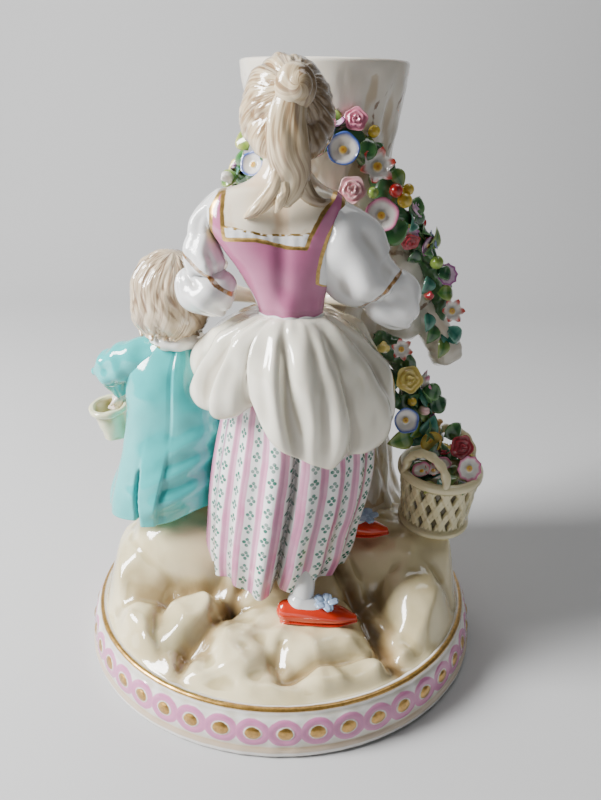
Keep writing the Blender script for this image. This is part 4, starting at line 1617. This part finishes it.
# Flowers seen in the photo as (kind, enamel, place, size), and leaves as (place, x and z of their way,
# length, enamel).
SEEN_FLOWERS = (
    ("rose", "pink", (26, 10.5, 220.5), 4.0), ("cup", "blue", (21.5, 5.0, 210), 5.6),
    ("star", "red", (35, 11, 203.5), 6.8), ("rose", "rose", (25.4, 6.0, 195.0), 4.7),
    ("berry", "green", (33.4, 5.0, 194.6), 2.3), ("berry", "crimson", (42.6, 9.0, 195), 2.8),
    ("berry", "yellow", (46.5, 11, 191), 3.0), ("berry", "yellow", (48, 14, 195), 2.4),
    ("cup", "blush", (37, 5, 185.8), 5.9), ("berry", "green", (64, 29, 163), 3.0),
    ("daisy", "mauve", (70, 33, 157), 4.6), ("bud", "crimson", (61, 26, 149), 2.8),
    ("star", "red", (73, 31, 141), 5.4), ("bud", "yellow", (41, 8, 131), 3.6),
    ("star", "red", (49, 9, 130), 4.6), ("rose", "yellow", (52.5, 8, 117), 5.2),
    ("cup", "blue", (52.4, 5, 99.2), 5.0), ("rose", "crimson", (77, 5, 87), 4.8),
    ("daisy", "blush", (80, -4, 81), 5.2), ("cup", "blue", (-13, 18, 203), 4.4),
    ("bud", "red", (-23, 22, 197), 3.2), ("rose", "rose", (33, 3, 163), 3.2),
)
SEEN_LEAVES = (
    ((30, 7.5, 206.5), 0.2, 1, 10.5, 1), ((31, 12, 208), 0.6, 0.5, 9, 1), ((20, 8, 219), -0.6, 0.7, 9, 0),
    ((41, 10, 204), 0.5, -0.9, 9, 0), ((36.5, 4, 177), 0.86, 0.5, 15, 1), ((36, 4, 181), -0.8, -0.2, 12, 0),
    ((50, 14, 185), 0.5, 0.8, 10, 1), ((62, 26, 158), -0.5, -0.7, 9, 2), ((66, 28, 150), 0.8, 0.1, 10, 0),
    ((62, 26, 142), -0.2, -1, 9, 2), ((70, 30, 133), 0.4, -1, 12, 2), ((66, 29, 136), -0.5, -0.8, 10, 1),
    ((45, 8, 122), -0.1, -1, 12, 4), ((48, 8, 112), -0.6, -0.9, 11, 4), ((60, 10, 112), 1, -0.3, 11, 1),
    ((63, 10, 103), 0.9, 0.3, 11, 4), ((57, 6, 92), -0.9, -0.3, 13, 0), ((56, 10, 106), -1, -0.1, 11, 4),
    ((70, 4, 92), 0.9, 0.5, 11, 1), ((-16, 20, 209), -0.6, 0.8, 10, 3), ((-20, 20, 199), -0.9, -0.2, 10, 0),
    ((-10, 14, 199), -0.2, -1, 9, 1), ((72, 31, 134), 0.6, -0.7, 11, 2), ((70, 28, 130), -0.4, -1, 10, 0),
    ((65, 28, 160), 0.9, -0.2, 9, 4),
)
ROUND_PATH = (
    (52, 57, 166), (32, 70, 177), (4, 71, 186), (-16, 56, 192), (-14, 30, 201), (-5, 14, 209), (10, 9, 214),
    (26, 12, 214), (36, 15, 204), (41, 14, 190), (50, 22, 178), (62, 32, 163), (68, 35, 148), (68, 34, 136),
)
DOWN_PATH = ((40, 12, 134), (48, 13, 128), (54, 14, 116), (56, 13, 103), (62, 12, 91), (72, 10, 80))
TO_VIEWER = np.array([-0.12, -0.75, 0.3])
HEAP_FLOWERS = (("rose", "crimson"), ("cup", "blush"), ("rose", "yellow"), ("star", "red"))
# How far a seen flower stands out towards the viewer, and how far others keep from it
PROUD = 1.6
FLOWER_CLEAR = 0.8
LEAF_CLEAR = 2.2


def make_garland(garland):
    """Flowers and leaves crowd round a leafy stem that circles the vase and falls to the basket.

    Those seen in the photo stand where it shows them. The others are drawn at random along each run,
    and left out where they would cover one of these.
    """
    posy = Posy(7)
    rng = posy.rng
    proud = PROUD * unit_of(TO_VIEWER)
    seen = np.array([flower[2] for flower in SEEN_FLOWERS]) + proud
    sizes = np.array([flower[3] for flower in SEEN_FLOWERS])

    def out_of_vase(place, lift):
        return unit_of([place[0] - VASE_MIDDLE[0], place[1] - VASE_MIDDLE[1], lift])

    def clear(place):
        return (np.linalg.norm((seen - place) * [1, 0.4, 1], axis=1) - sizes).min()

    for kind, enamel, place, size in SEEN_FLOWERS:
        forward = out_of_vase(place, 6.0) * 0.4 + TO_VIEWER
        posy.flower(kind, enamel, place + proud, forward, 1.12 * size)
    for place, way_x, way_z, length, enamel in SEEN_LEAVES:
        posy.leaf(place, out_of_vase(place, 6.0) * 0.7 + TO_VIEWER, (way_x, 0, way_z), length, enamel)
    stem = Shell()
    names = ("cup", "star", "rose", "daisy", "bud", "berry")
    thick = garland.radius / STEP
    runs = (
        (ROUND_PATH, garland.round_flowers, garland.round_leaves, (8.5, 12), (0, 1, 2, 3, 4, 1)),
        (DOWN_PATH, garland.down_flowers, garland.down_leaves, (9, 13), (1, 4, 4, 1, 0, 2)),
    )
    for path, flowers, leaves, lengths, greens in runs:
        grid = tube(path, [thick * 0.55] + [thick * 0.72] * (len(path) - 2) + [thick * 0.5], 120, 24)[0]
        stem.add(swell(grid, 0.6 * ripple(grid, 7, 141)))
        along = lengths_along(path)
        places = [(index, flowers) for index in range(flowers)] + [(index, leaves) for index in range(leaves)]
        for number, (index, count) in enumerate(places):
            at = along[-1] * (index + rng.uniform(0.2, 0.8)) / count
            centre = eased(along, path, at)
            way = unit_of(eased(along, path, min(at + 2, along[-1])) - eased(along, path, max(at - 2, 0)))
            away = out_of_vase(centre, 0)
            swing = rng.uniform(-1.25, 1.25)
            out = unit_of(away * math.cos(swing) + np.cross(way, away) * math.sin(swing) + 0.15 * UP)
            if number < flowers:
                kind = names[rng.choice(6, p=(0.22, 0.18, 0.24, 0.14, 0.12, 0.10))]
                enamel = rng.choice(list(ENAMELS))
                if kind in ("cup", "star", "daisy"):
                    enamel = rng.choice(["red", "blue", "blush", "yellow", "mauve"])
                if kind == "berry":
                    enamel = rng.choice(list(BERRIES))
                size = BLOOM_SIZES[kind]
                place = centre + out * thick * 0.85
                if clear(place) > FLOWER_CLEAR * size:
                    posy.flower(kind, enamel, place, out, size * rng.uniform(0.85, 1.1))
            else:
                lean = way * rng.uniform(-1, 1) + np.cross(out, way) * rng.uniform(-1, 1)
                place = centre + out * thick * rng.uniform(0.45, 0.7)
                reach = rng.uniform(*lengths)
                tip = place + unit_of(lean) * reach
                if min(clear(place), clear((place + tip) / 2), clear(tip)) > LEAF_CLEAR:
                    posy.leaf(place, out, lean, reach, greens[rng.integers(0, 6)])
    for index in range(garland.heap_leaves):
        angle, share = index * 2.4, math.sqrt((index + 0.5) / garland.heap_leaves)
        right, back = share * math.sin(angle), share * math.cos(angle)
        place = np.array([14 * right, 17 * back, 26.5 + 3.5 * (1 - share)]) + BASKET_PLACE
        away = np.array([0.6 * right, 0.6 * back, 1.0])
        way = (math.sin(angle + 0.6), math.cos(angle + 0.6), 0)
        posy.leaf(place, away, way, rng.uniform(6.5, 9), rng.integers(0, 5))
        if index % 4 == 0:
            posy.flower(*HEAP_FLOWERS[index // 4 % 4], place + 1.5 * UP, away, 4.2)
    stem.build("garland_stem", plain_glaze("stem_glaze", (0.05, 0.14, 0.05), (0.015, 0.05, 0.02)))
    for name, shell, depth in (("garland_flowers", posy.blooms, 0.12), ("garland_leaves", posy.leaves, 0.35)):
        glaze = Glaze(name + "_glaze", 0.16, 0.8, 0.05)
        paint = glaze.field("paint", "Color")
        shade = glaze.between(glaze.field("hollow"), -0.1, 0.35, 0.0, depth)
        shell.build(name, glaze.finish(glaze.mix(shade, paint, (0.12, 0.07, 0.05))))


# Stage


def make_stage(stage):
    """A pale floor that turns up into a wall, soft lights and the camera at the photo's angle."""
    bend = np.linspace(0, math.pi / 2, 24)[1:]
    back, curve, high = 0.55, 0.35, 1.2
    y = np.r_[-1.6, np.linspace(-1.2, back, 16), back + curve * np.sin(bend), back + curve, back + curve]
    z = np.r_[0, np.zeros(16), curve - curve * np.cos(bend), curve + 0.4, curve + high]
    points = joined(2.4 * np.linspace(-1, 1, 41)[:, None], y, z).reshape(-1, 3)
    count = len(y)
    corner = (np.arange(40)[:, None] * count + np.arange(count - 1)).ravel()
    faces = np.stack([corner, corner + count, corner + count + 1, corner + 1], -1)
    mesh = bpy.data.meshes.new("floor")
    mesh.from_pydata(points.tolist(), [], faces.tolist())
    mesh.shade_smooth()
    paper = bpy.data.materials.new("pale_paper")
    paper.use_nodes = True
    shader = paper.node_tree.nodes["Principled BSDF"]
    shader.inputs["Base Color"].default_value = (*stage.paper, 1.0)
    shader.inputs["Roughness"].default_value = 0.75
    mesh.materials.append(paper)
    floor = bpy.data.objects.new("floor", mesh)
    bpy.context.scene.collection.objects.link(floor)
    aim = Vector((0, 0, 0.11))
    lamps = (
        ("key", (-0.86, -0.20, 0.64), 0.36, 0.56, stage.key),
        ("fill", (0.85, -0.75, 0.35), 0.7, 0.7, stage.fill),
        ("top", (0.1, 0.25, 1.05), 0.8, 0.5, stage.top),
    )
    for name, place, wide, tall, power in lamps:
        light = bpy.data.lights.new(name, "AREA")
        light.shape = "RECTANGLE"
        light.size = wide
        light.size_y = tall
        light.energy = power
        lamp = bpy.data.objects.new(name, light)
        lamp.location = place
        lamp.rotation_euler = (aim - Vector(place)).to_track_quat("-Z", "Y").to_euler()
        bpy.context.scene.collection.objects.link(lamp)
    world = bpy.data.worlds.new("soft_room")
    world.use_nodes = True
    world.node_tree.nodes["Background"].inputs["Color"].default_value = (0.80, 0.84, 0.90, 1.0)
    world.node_tree.nodes["Background"].inputs["Strength"].default_value = stage.room
    bpy.context.scene.world = world
    camera = bpy.data.cameras.new("photo_camera")
    camera.sensor_width = 36.0
    camera.lens = stage.lens * 1000
    seen = bpy.data.objects.new("photo_camera", camera)
    seen.location = stage.camera
    tilt = Euler((math.pi / 2 - stage.pitch, 0, 0)).to_matrix() @ Euler((0, 0, stage.roll)).to_matrix()
    seen.rotation_euler = tilt.to_euler()
    bpy.context.scene.collection.objects.link(seen)
    bpy.context.scene.camera = seen


# Sizes and colours


def length(name, description, default):
    return bpy.props.FloatProperty(
        name=name, description=description, default=default, min=0.0, precision=4, unit="LENGTH",
        subtype="DISTANCE",
    )


def enamel(name, description, default):
    return bpy.props.FloatVectorProperty(
        name=name, description=description, default=default, size=3, min=0.0, max=1.0, subtype="COLOR",
    )


def number(name, description, default):
    return bpy.props.FloatProperty(name=name, description=description, default=default)


def count(name, description, default):
    return bpy.props.IntProperty(name=name, description=description, default=default, min=1)


def angle(name, description, degrees):
    return bpy.props.FloatProperty(
        name=name, description=description, default=math.radians(degrees), unit="ROTATION", subtype="ANGLE",
    )


class PlinthSettings(bpy.types.PropertyGroup):
    radius: length("Radius", "Radius of the plinth at its foot", 0.087)
    bead_count: count("Beads", "Gilt beads round the band", 44)
    bead_phase: angle("First bead", "Angle of the first bead from the near side", 2.4)
    white: enamel("White", "White of the band", (0.83, 0.81, 0.77))
    pink: enamel("Pink", "Pink of the looped chain", (0.62, 0.17, 0.38))


class RockSettings(bpy.types.PropertyGroup):
    sharpness: number("Sharpness", "How sharply one hump of rock meets the next", 1.1)
    cream: enamel("Cream", "Glaze on the faces of the rock", (0.88, 0.77, 0.48))
    tan: enamel("Tan", "Wash on the broad faces", (0.60, 0.50, 0.27))
    brown: enamel("Brown", "Wash gathered in the clefts", (0.27, 0.17, 0.07))


class VaseSettings(bpy.types.PropertyGroup):
    trunk_radius: length("Trunk radius", "Mean radius of the trunk", 0.029)
    rim_radius: length("Rim radius", "Radius of the vase at its mouth", 0.035)
    wall: length("Wall", "Thickness of the wall and lip", 0.0034)
    depth: length("Depth", "Depth of the well below the rim", 0.098)
    white: enamel("White", "Glaze of the trunk", (0.82, 0.77, 0.67))
    shade: enamel("Shade", "Warm tone where the glaze gathers", (0.62, 0.51, 0.36))
    bark: enamel("Bark", "Brown of the painted cracks", (0.24, 0.13, 0.07))


class GirlSettings(bpy.types.PropertyGroup):
    stripe_count: count("Stripes", "Mauve stripes round the skirt", 26)
    sprig_gap: number("Sprig gap", "Millimetres from one green sprig to the next", 6.1)
    skirt: enamel("Skirt", "White of the skirt", (0.84, 0.83, 0.82))
    stripe: enamel("Stripe", "Mauve of the stripes", (0.66, 0.22, 0.40))
    sprig: enamel("Sprig", "Green of the sprigs", (0.012, 0.15, 0.10))
    overskirt: enamel("Overskirt", "Warm white of the overskirt", (0.85, 0.81, 0.68))
    overskirt_shade: enamel("Overskirt shade", "Tone in its folds", (0.60, 0.55, 0.44))
    bodice: enamel("Bodice", "Mauve of the bodice", (0.52, 0.16, 0.30))
    linen: enamel("Linen", "Cool white of sleeves and stockings", (0.83, 0.83, 0.82))
    linen_shade: enamel("Linen shade", "Tone in the gathers", (0.60, 0.58, 0.54))
    skin: enamel("Skin", "Pale skin", (0.87, 0.78, 0.62))
    skin_shade: enamel("Skin shade", "Skin where the glaze gathers", (0.76, 0.60, 0.42))
    hair: enamel("Hair", "Pale blond", (0.76, 0.61, 0.39))
    hair_shade: enamel("Hair streaks", "Taupe of the strands", (0.30, 0.19, 0.10))
    shoes: enamel("Shoes", "Vermilion", (0.62, 0.035, 0.01))
    bows: enamel("Bows", "Grey blue", (0.30, 0.40, 0.56))


class BoySettings(bpy.types.PropertyGroup):
    coat: enamel("Coat", "Turquoise", (0.055, 0.52, 0.52))
    linen: enamel("Linen", "White of collar and stockings", (0.84, 0.82, 0.78))
    linen_shade: enamel("Linen shade", "Tone in the gathers", (0.62, 0.58, 0.50))
    breeches: enamel("Breeches", "Soft yellow", (0.80, 0.70, 0.36))
    skin: enamel("Skin", "Pale skin", (0.85, 0.74, 0.64))
    skin_shade: enamel("Skin shade", "Skin where the glaze gathers", (0.76, 0.57, 0.44))
    hair: enamel("Hair", "Ash blond", (0.68, 0.55, 0.38))
    hair_shade: enamel("Hair streaks", "Taupe of the strands", (0.24, 0.16, 0.10))
    shoes: enamel("Shoes", "Dark brown", (0.07, 0.04, 0.03))


class PailSettings(bpy.types.PropertyGroup):
    radius: length("Radius", "Radius at the rim", 0.0081)
    foot_radius: length("Foot radius", "Radius at the foot", 0.0053)
    height: length("Height", "Height of the pail", 0.0165)
    wall: length("Wall", "Thickness of the wall", 0.0016)
    tilt_forward: angle("Forward tilt", "How far it leans away from the near side", 10)
    tilt_left: angle("Left tilt", "How far it leans to the left", 7)
    colour: enamel("Colour", "Pale yellow", (0.78, 0.76, 0.50))


class BasketSettings(bpy.types.PropertyGroup):
    rim_radius: length("Rim radius", "Half width at the rim", 0.019)
    foot_radius: length("Foot radius", "Half width at the foot", 0.015)
    height: length("Height", "Height of the rim above the foot", 0.0285)
    handle_rise: length("Handle rise", "Height of the handles above the rim", 0.012)
    lengthening: number("Lengthening", "Depth of the basket as a share of its width", 1.22)
    strip_count: count("Strips", "Strips each way round the basket", 15)
    colour: enamel("Colour", "Yellow cream", (0.80, 0.72, 0.44))


class GarlandSettings(bpy.types.PropertyGroup):
    radius: length("Radius", "Radius of the garland without its petals", 0.0066)
    round_flowers: count("Flowers round the vase", "Flowers set at random on the upper run", 74)
    round_leaves: count("Leaves round the vase", "Leaves set at random on the upper run", 170)
    down_flowers: count("Flowers below", "Flowers set at random on the lower run", 18)
    down_leaves: count("Leaves below", "Leaves set at random on the lower run", 72)
    heap_leaves: count("Heap leaves", "Leaves heaped in the basket", 26)


class StageSettings(bpy.types.PropertyGroup):
    paper: enamel("Floor", "Pale grey floor", (0.55, 0.55, 0.55))
    key: number("Key light", "Watts of the left light", 36.0)
    fill: number("Fill light", "Watts of the right light", 0.7)
    top: number("Top light", "Watts of the high light", 3.0)
    room: number("Room light", "Strength of the even light", 0.07)
    camera: bpy.props.FloatVectorProperty(
        name="Camera", description="Place of the camera", default=(0.00687, -0.3019, 0.2310), size=3,
        unit="LENGTH", subtype="TRANSLATION",
    )
    lens: length("Lens", "Focal length", 0.034425)
    pitch: angle("Pitch", "How far the camera looks down", 21.9)
    roll: angle("Roll", "How far the camera is turned about its view", 1.1)


# Operators


class FIGURE_GROUP_OT_stage(bpy.types.Operator):
    """Makes the floor, the lights and the camera."""

    bl_idname = "figure_group.stage"
    bl_label = "Stage"

    def execute(self, context):
        make_stage(context.scene.figure_group.stage)
        return {"FINISHED"}


class FIGURE_GROUP_OT_plinth(bpy.types.Operator):
    """Makes the round beaded plinth."""

    bl_idname = "figure_group.plinth"
    bl_label = "Plinth"

    def execute(self, context):
        make_plinth(context.scene.figure_group.plinth)
        return {"FINISHED"}


class FIGURE_GROUP_OT_rock(bpy.types.Operator):
    """Makes the rocky ground."""

    bl_idname = "figure_group.rock"
    bl_label = "Rock"

    def execute(self, context):
        make_rock(context.scene.figure_group.rock)
        return {"FINISHED"}


class FIGURE_GROUP_OT_vase(bpy.types.Operator):
    """Makes the vase, its burl and its branch."""

    bl_idname = "figure_group.vase"
    bl_label = "Tree-trunk vase"

    def execute(self, context):
        make_vase(context.scene.figure_group.vase, context.scene.figure_group.rock)
        return {"FINISHED"}


class FIGURE_GROUP_OT_skirts(bpy.types.Operator):
    """Makes the striped skirt and the overskirt."""

    bl_idname = "figure_group.skirts"
    bl_label = "Skirts"

    def execute(self, context):
        make_skirt(context.scene.figure_group.girl)
        make_overskirt(context.scene.figure_group.girl)
        return {"FINISHED"}


class FIGURE_GROUP_OT_bodice(bpy.types.Operator):
    """Makes the bodice, sleeves, arms and hands."""

    bl_idname = "figure_group.bodice"
    bl_label = "Bodice and sleeves"

    def execute(self, context):
        make_torso(context.scene.figure_group.girl)
        make_sleeves(context.scene.figure_group.girl)
        return {"FINISHED"}


class FIGURE_GROUP_OT_girl_head(bpy.types.Operator):
    """Makes the head, the knot and the tresses."""

    bl_idname = "figure_group.girl_head"
    bl_label = "Girl's head and hair"

    def execute(self, context):
        make_girl_hair(context.scene.figure_group.girl)
        return {"FINISHED"}


class FIGURE_GROUP_OT_girl_feet(bpy.types.Operator):
    """Makes the stockings, shoes and bows."""

    bl_idname = "figure_group.girl_feet"
    bl_label = "Girl's feet"

    def execute(self, context):
        make_girl_feet(context.scene.figure_group.girl)
        return {"FINISHED"}


class FIGURE_GROUP_OT_coat(bpy.types.Operator):
    """Makes the slit coat and its sleeves."""

    bl_idname = "figure_group.coat"
    bl_label = "Boy's coat"

    def execute(self, context):
        make_coat(context.scene.figure_group.boy)
        return {"FINISHED"}


class FIGURE_GROUP_OT_boy(bpy.types.Operator):
    """Makes the boy's head, hair, hands, collar and legs."""

    bl_idname = "figure_group.boy"
    bl_label = "Boy"

    def execute(self, context):
        make_boy_hair(context.scene.figure_group.boy)
        make_boy_body(context.scene.figure_group.boy)
        return {"FINISHED"}


class FIGURE_GROUP_OT_pail(bpy.types.Operator):
    """Makes the small pail."""

    bl_idname = "figure_group.pail"
    bl_label = "Pail"

    def execute(self, context):
        make_pail(context.scene.figure_group.pail)
        return {"FINISHED"}


class FIGURE_GROUP_OT_basket(bpy.types.Operator):
    """Makes the woven basket and its handles."""

    bl_idname = "figure_group.basket"
    bl_label = "Basket"

    def execute(self, context):
        make_basket(context.scene.figure_group.basket)
        return {"FINISHED"}


class FIGURE_GROUP_OT_garland(bpy.types.Operator):
    """Makes the garland of flowers and leaves."""

    bl_idname = "figure_group.garland"
    bl_label = "Garland"

    def execute(self, context):
        make_garland(context.scene.figure_group.garland)
        return {"FINISHED"}


OPERATORS = (
    FIGURE_GROUP_OT_stage, FIGURE_GROUP_OT_plinth, FIGURE_GROUP_OT_rock, FIGURE_GROUP_OT_vase,
    FIGURE_GROUP_OT_skirts, FIGURE_GROUP_OT_bodice, FIGURE_GROUP_OT_girl_head, FIGURE_GROUP_OT_girl_feet,
    FIGURE_GROUP_OT_coat, FIGURE_GROUP_OT_boy, FIGURE_GROUP_OT_pail, FIGURE_GROUP_OT_basket,
    FIGURE_GROUP_OT_garland,
)


class FigureGroupSettings(bpy.types.PropertyGroup):
    plinth: bpy.props.PointerProperty(type=PlinthSettings)
    rock: bpy.props.PointerProperty(type=RockSettings)
    vase: bpy.props.PointerProperty(type=VaseSettings)
    girl: bpy.props.PointerProperty(type=GirlSettings)
    boy: bpy.props.PointerProperty(type=BoySettings)
    pail: bpy.props.PointerProperty(type=PailSettings)
    basket: bpy.props.PointerProperty(type=BasketSettings)
    garland: bpy.props.PointerProperty(type=GarlandSettings)
    stage: bpy.props.PointerProperty(type=StageSettings)


class FIGURE_GROUP_PT_panel(bpy.types.Panel):
    """Lists the figure group's pieces."""

    bl_label = "Figure group"
    bl_idname = "FIGURE_GROUP_PT_panel"
    bl_space_type = "VIEW_3D"
    bl_region_type = "UI"
    bl_category = "Figure group"

    def draw(self, context):
        for operator in OPERATORS:
            self.layout.operator(operator.bl_idname)


CLASSES = (
    PlinthSettings, RockSettings, VaseSettings, GirlSettings, BoySettings, PailSettings, BasketSettings,
    GarlandSettings, StageSettings, FigureGroupSettings, *OPERATORS, FIGURE_GROUP_PT_panel,
)


def register():
    for kind in CLASSES:
        bpy.utils.register_class(kind)
    bpy.types.Scene.figure_group = bpy.props.PointerProperty(type=FigureGroupSettings)


def unregister():
    del bpy.types.Scene.figure_group
    for kind in reversed(CLASSES):
        bpy.utils.unregister_class(kind)


def main():
    register()
    bpy.ops.figure_group.stage()
    bpy.ops.figure_group.plinth()
    bpy.ops.figure_group.rock()
    bpy.ops.figure_group.vase()
    bpy.ops.figure_group.skirts()
    bpy.ops.figure_group.bodice()
    bpy.ops.figure_group.girl_head()
    bpy.ops.figure_group.girl_feet()
    bpy.ops.figure_group.coat()
    bpy.ops.figure_group.boy()
    bpy.ops.figure_group.pail()
    bpy.ops.figure_group.basket()
    bpy.ops.figure_group.garland()


if __name__ == "__main__":
    main()
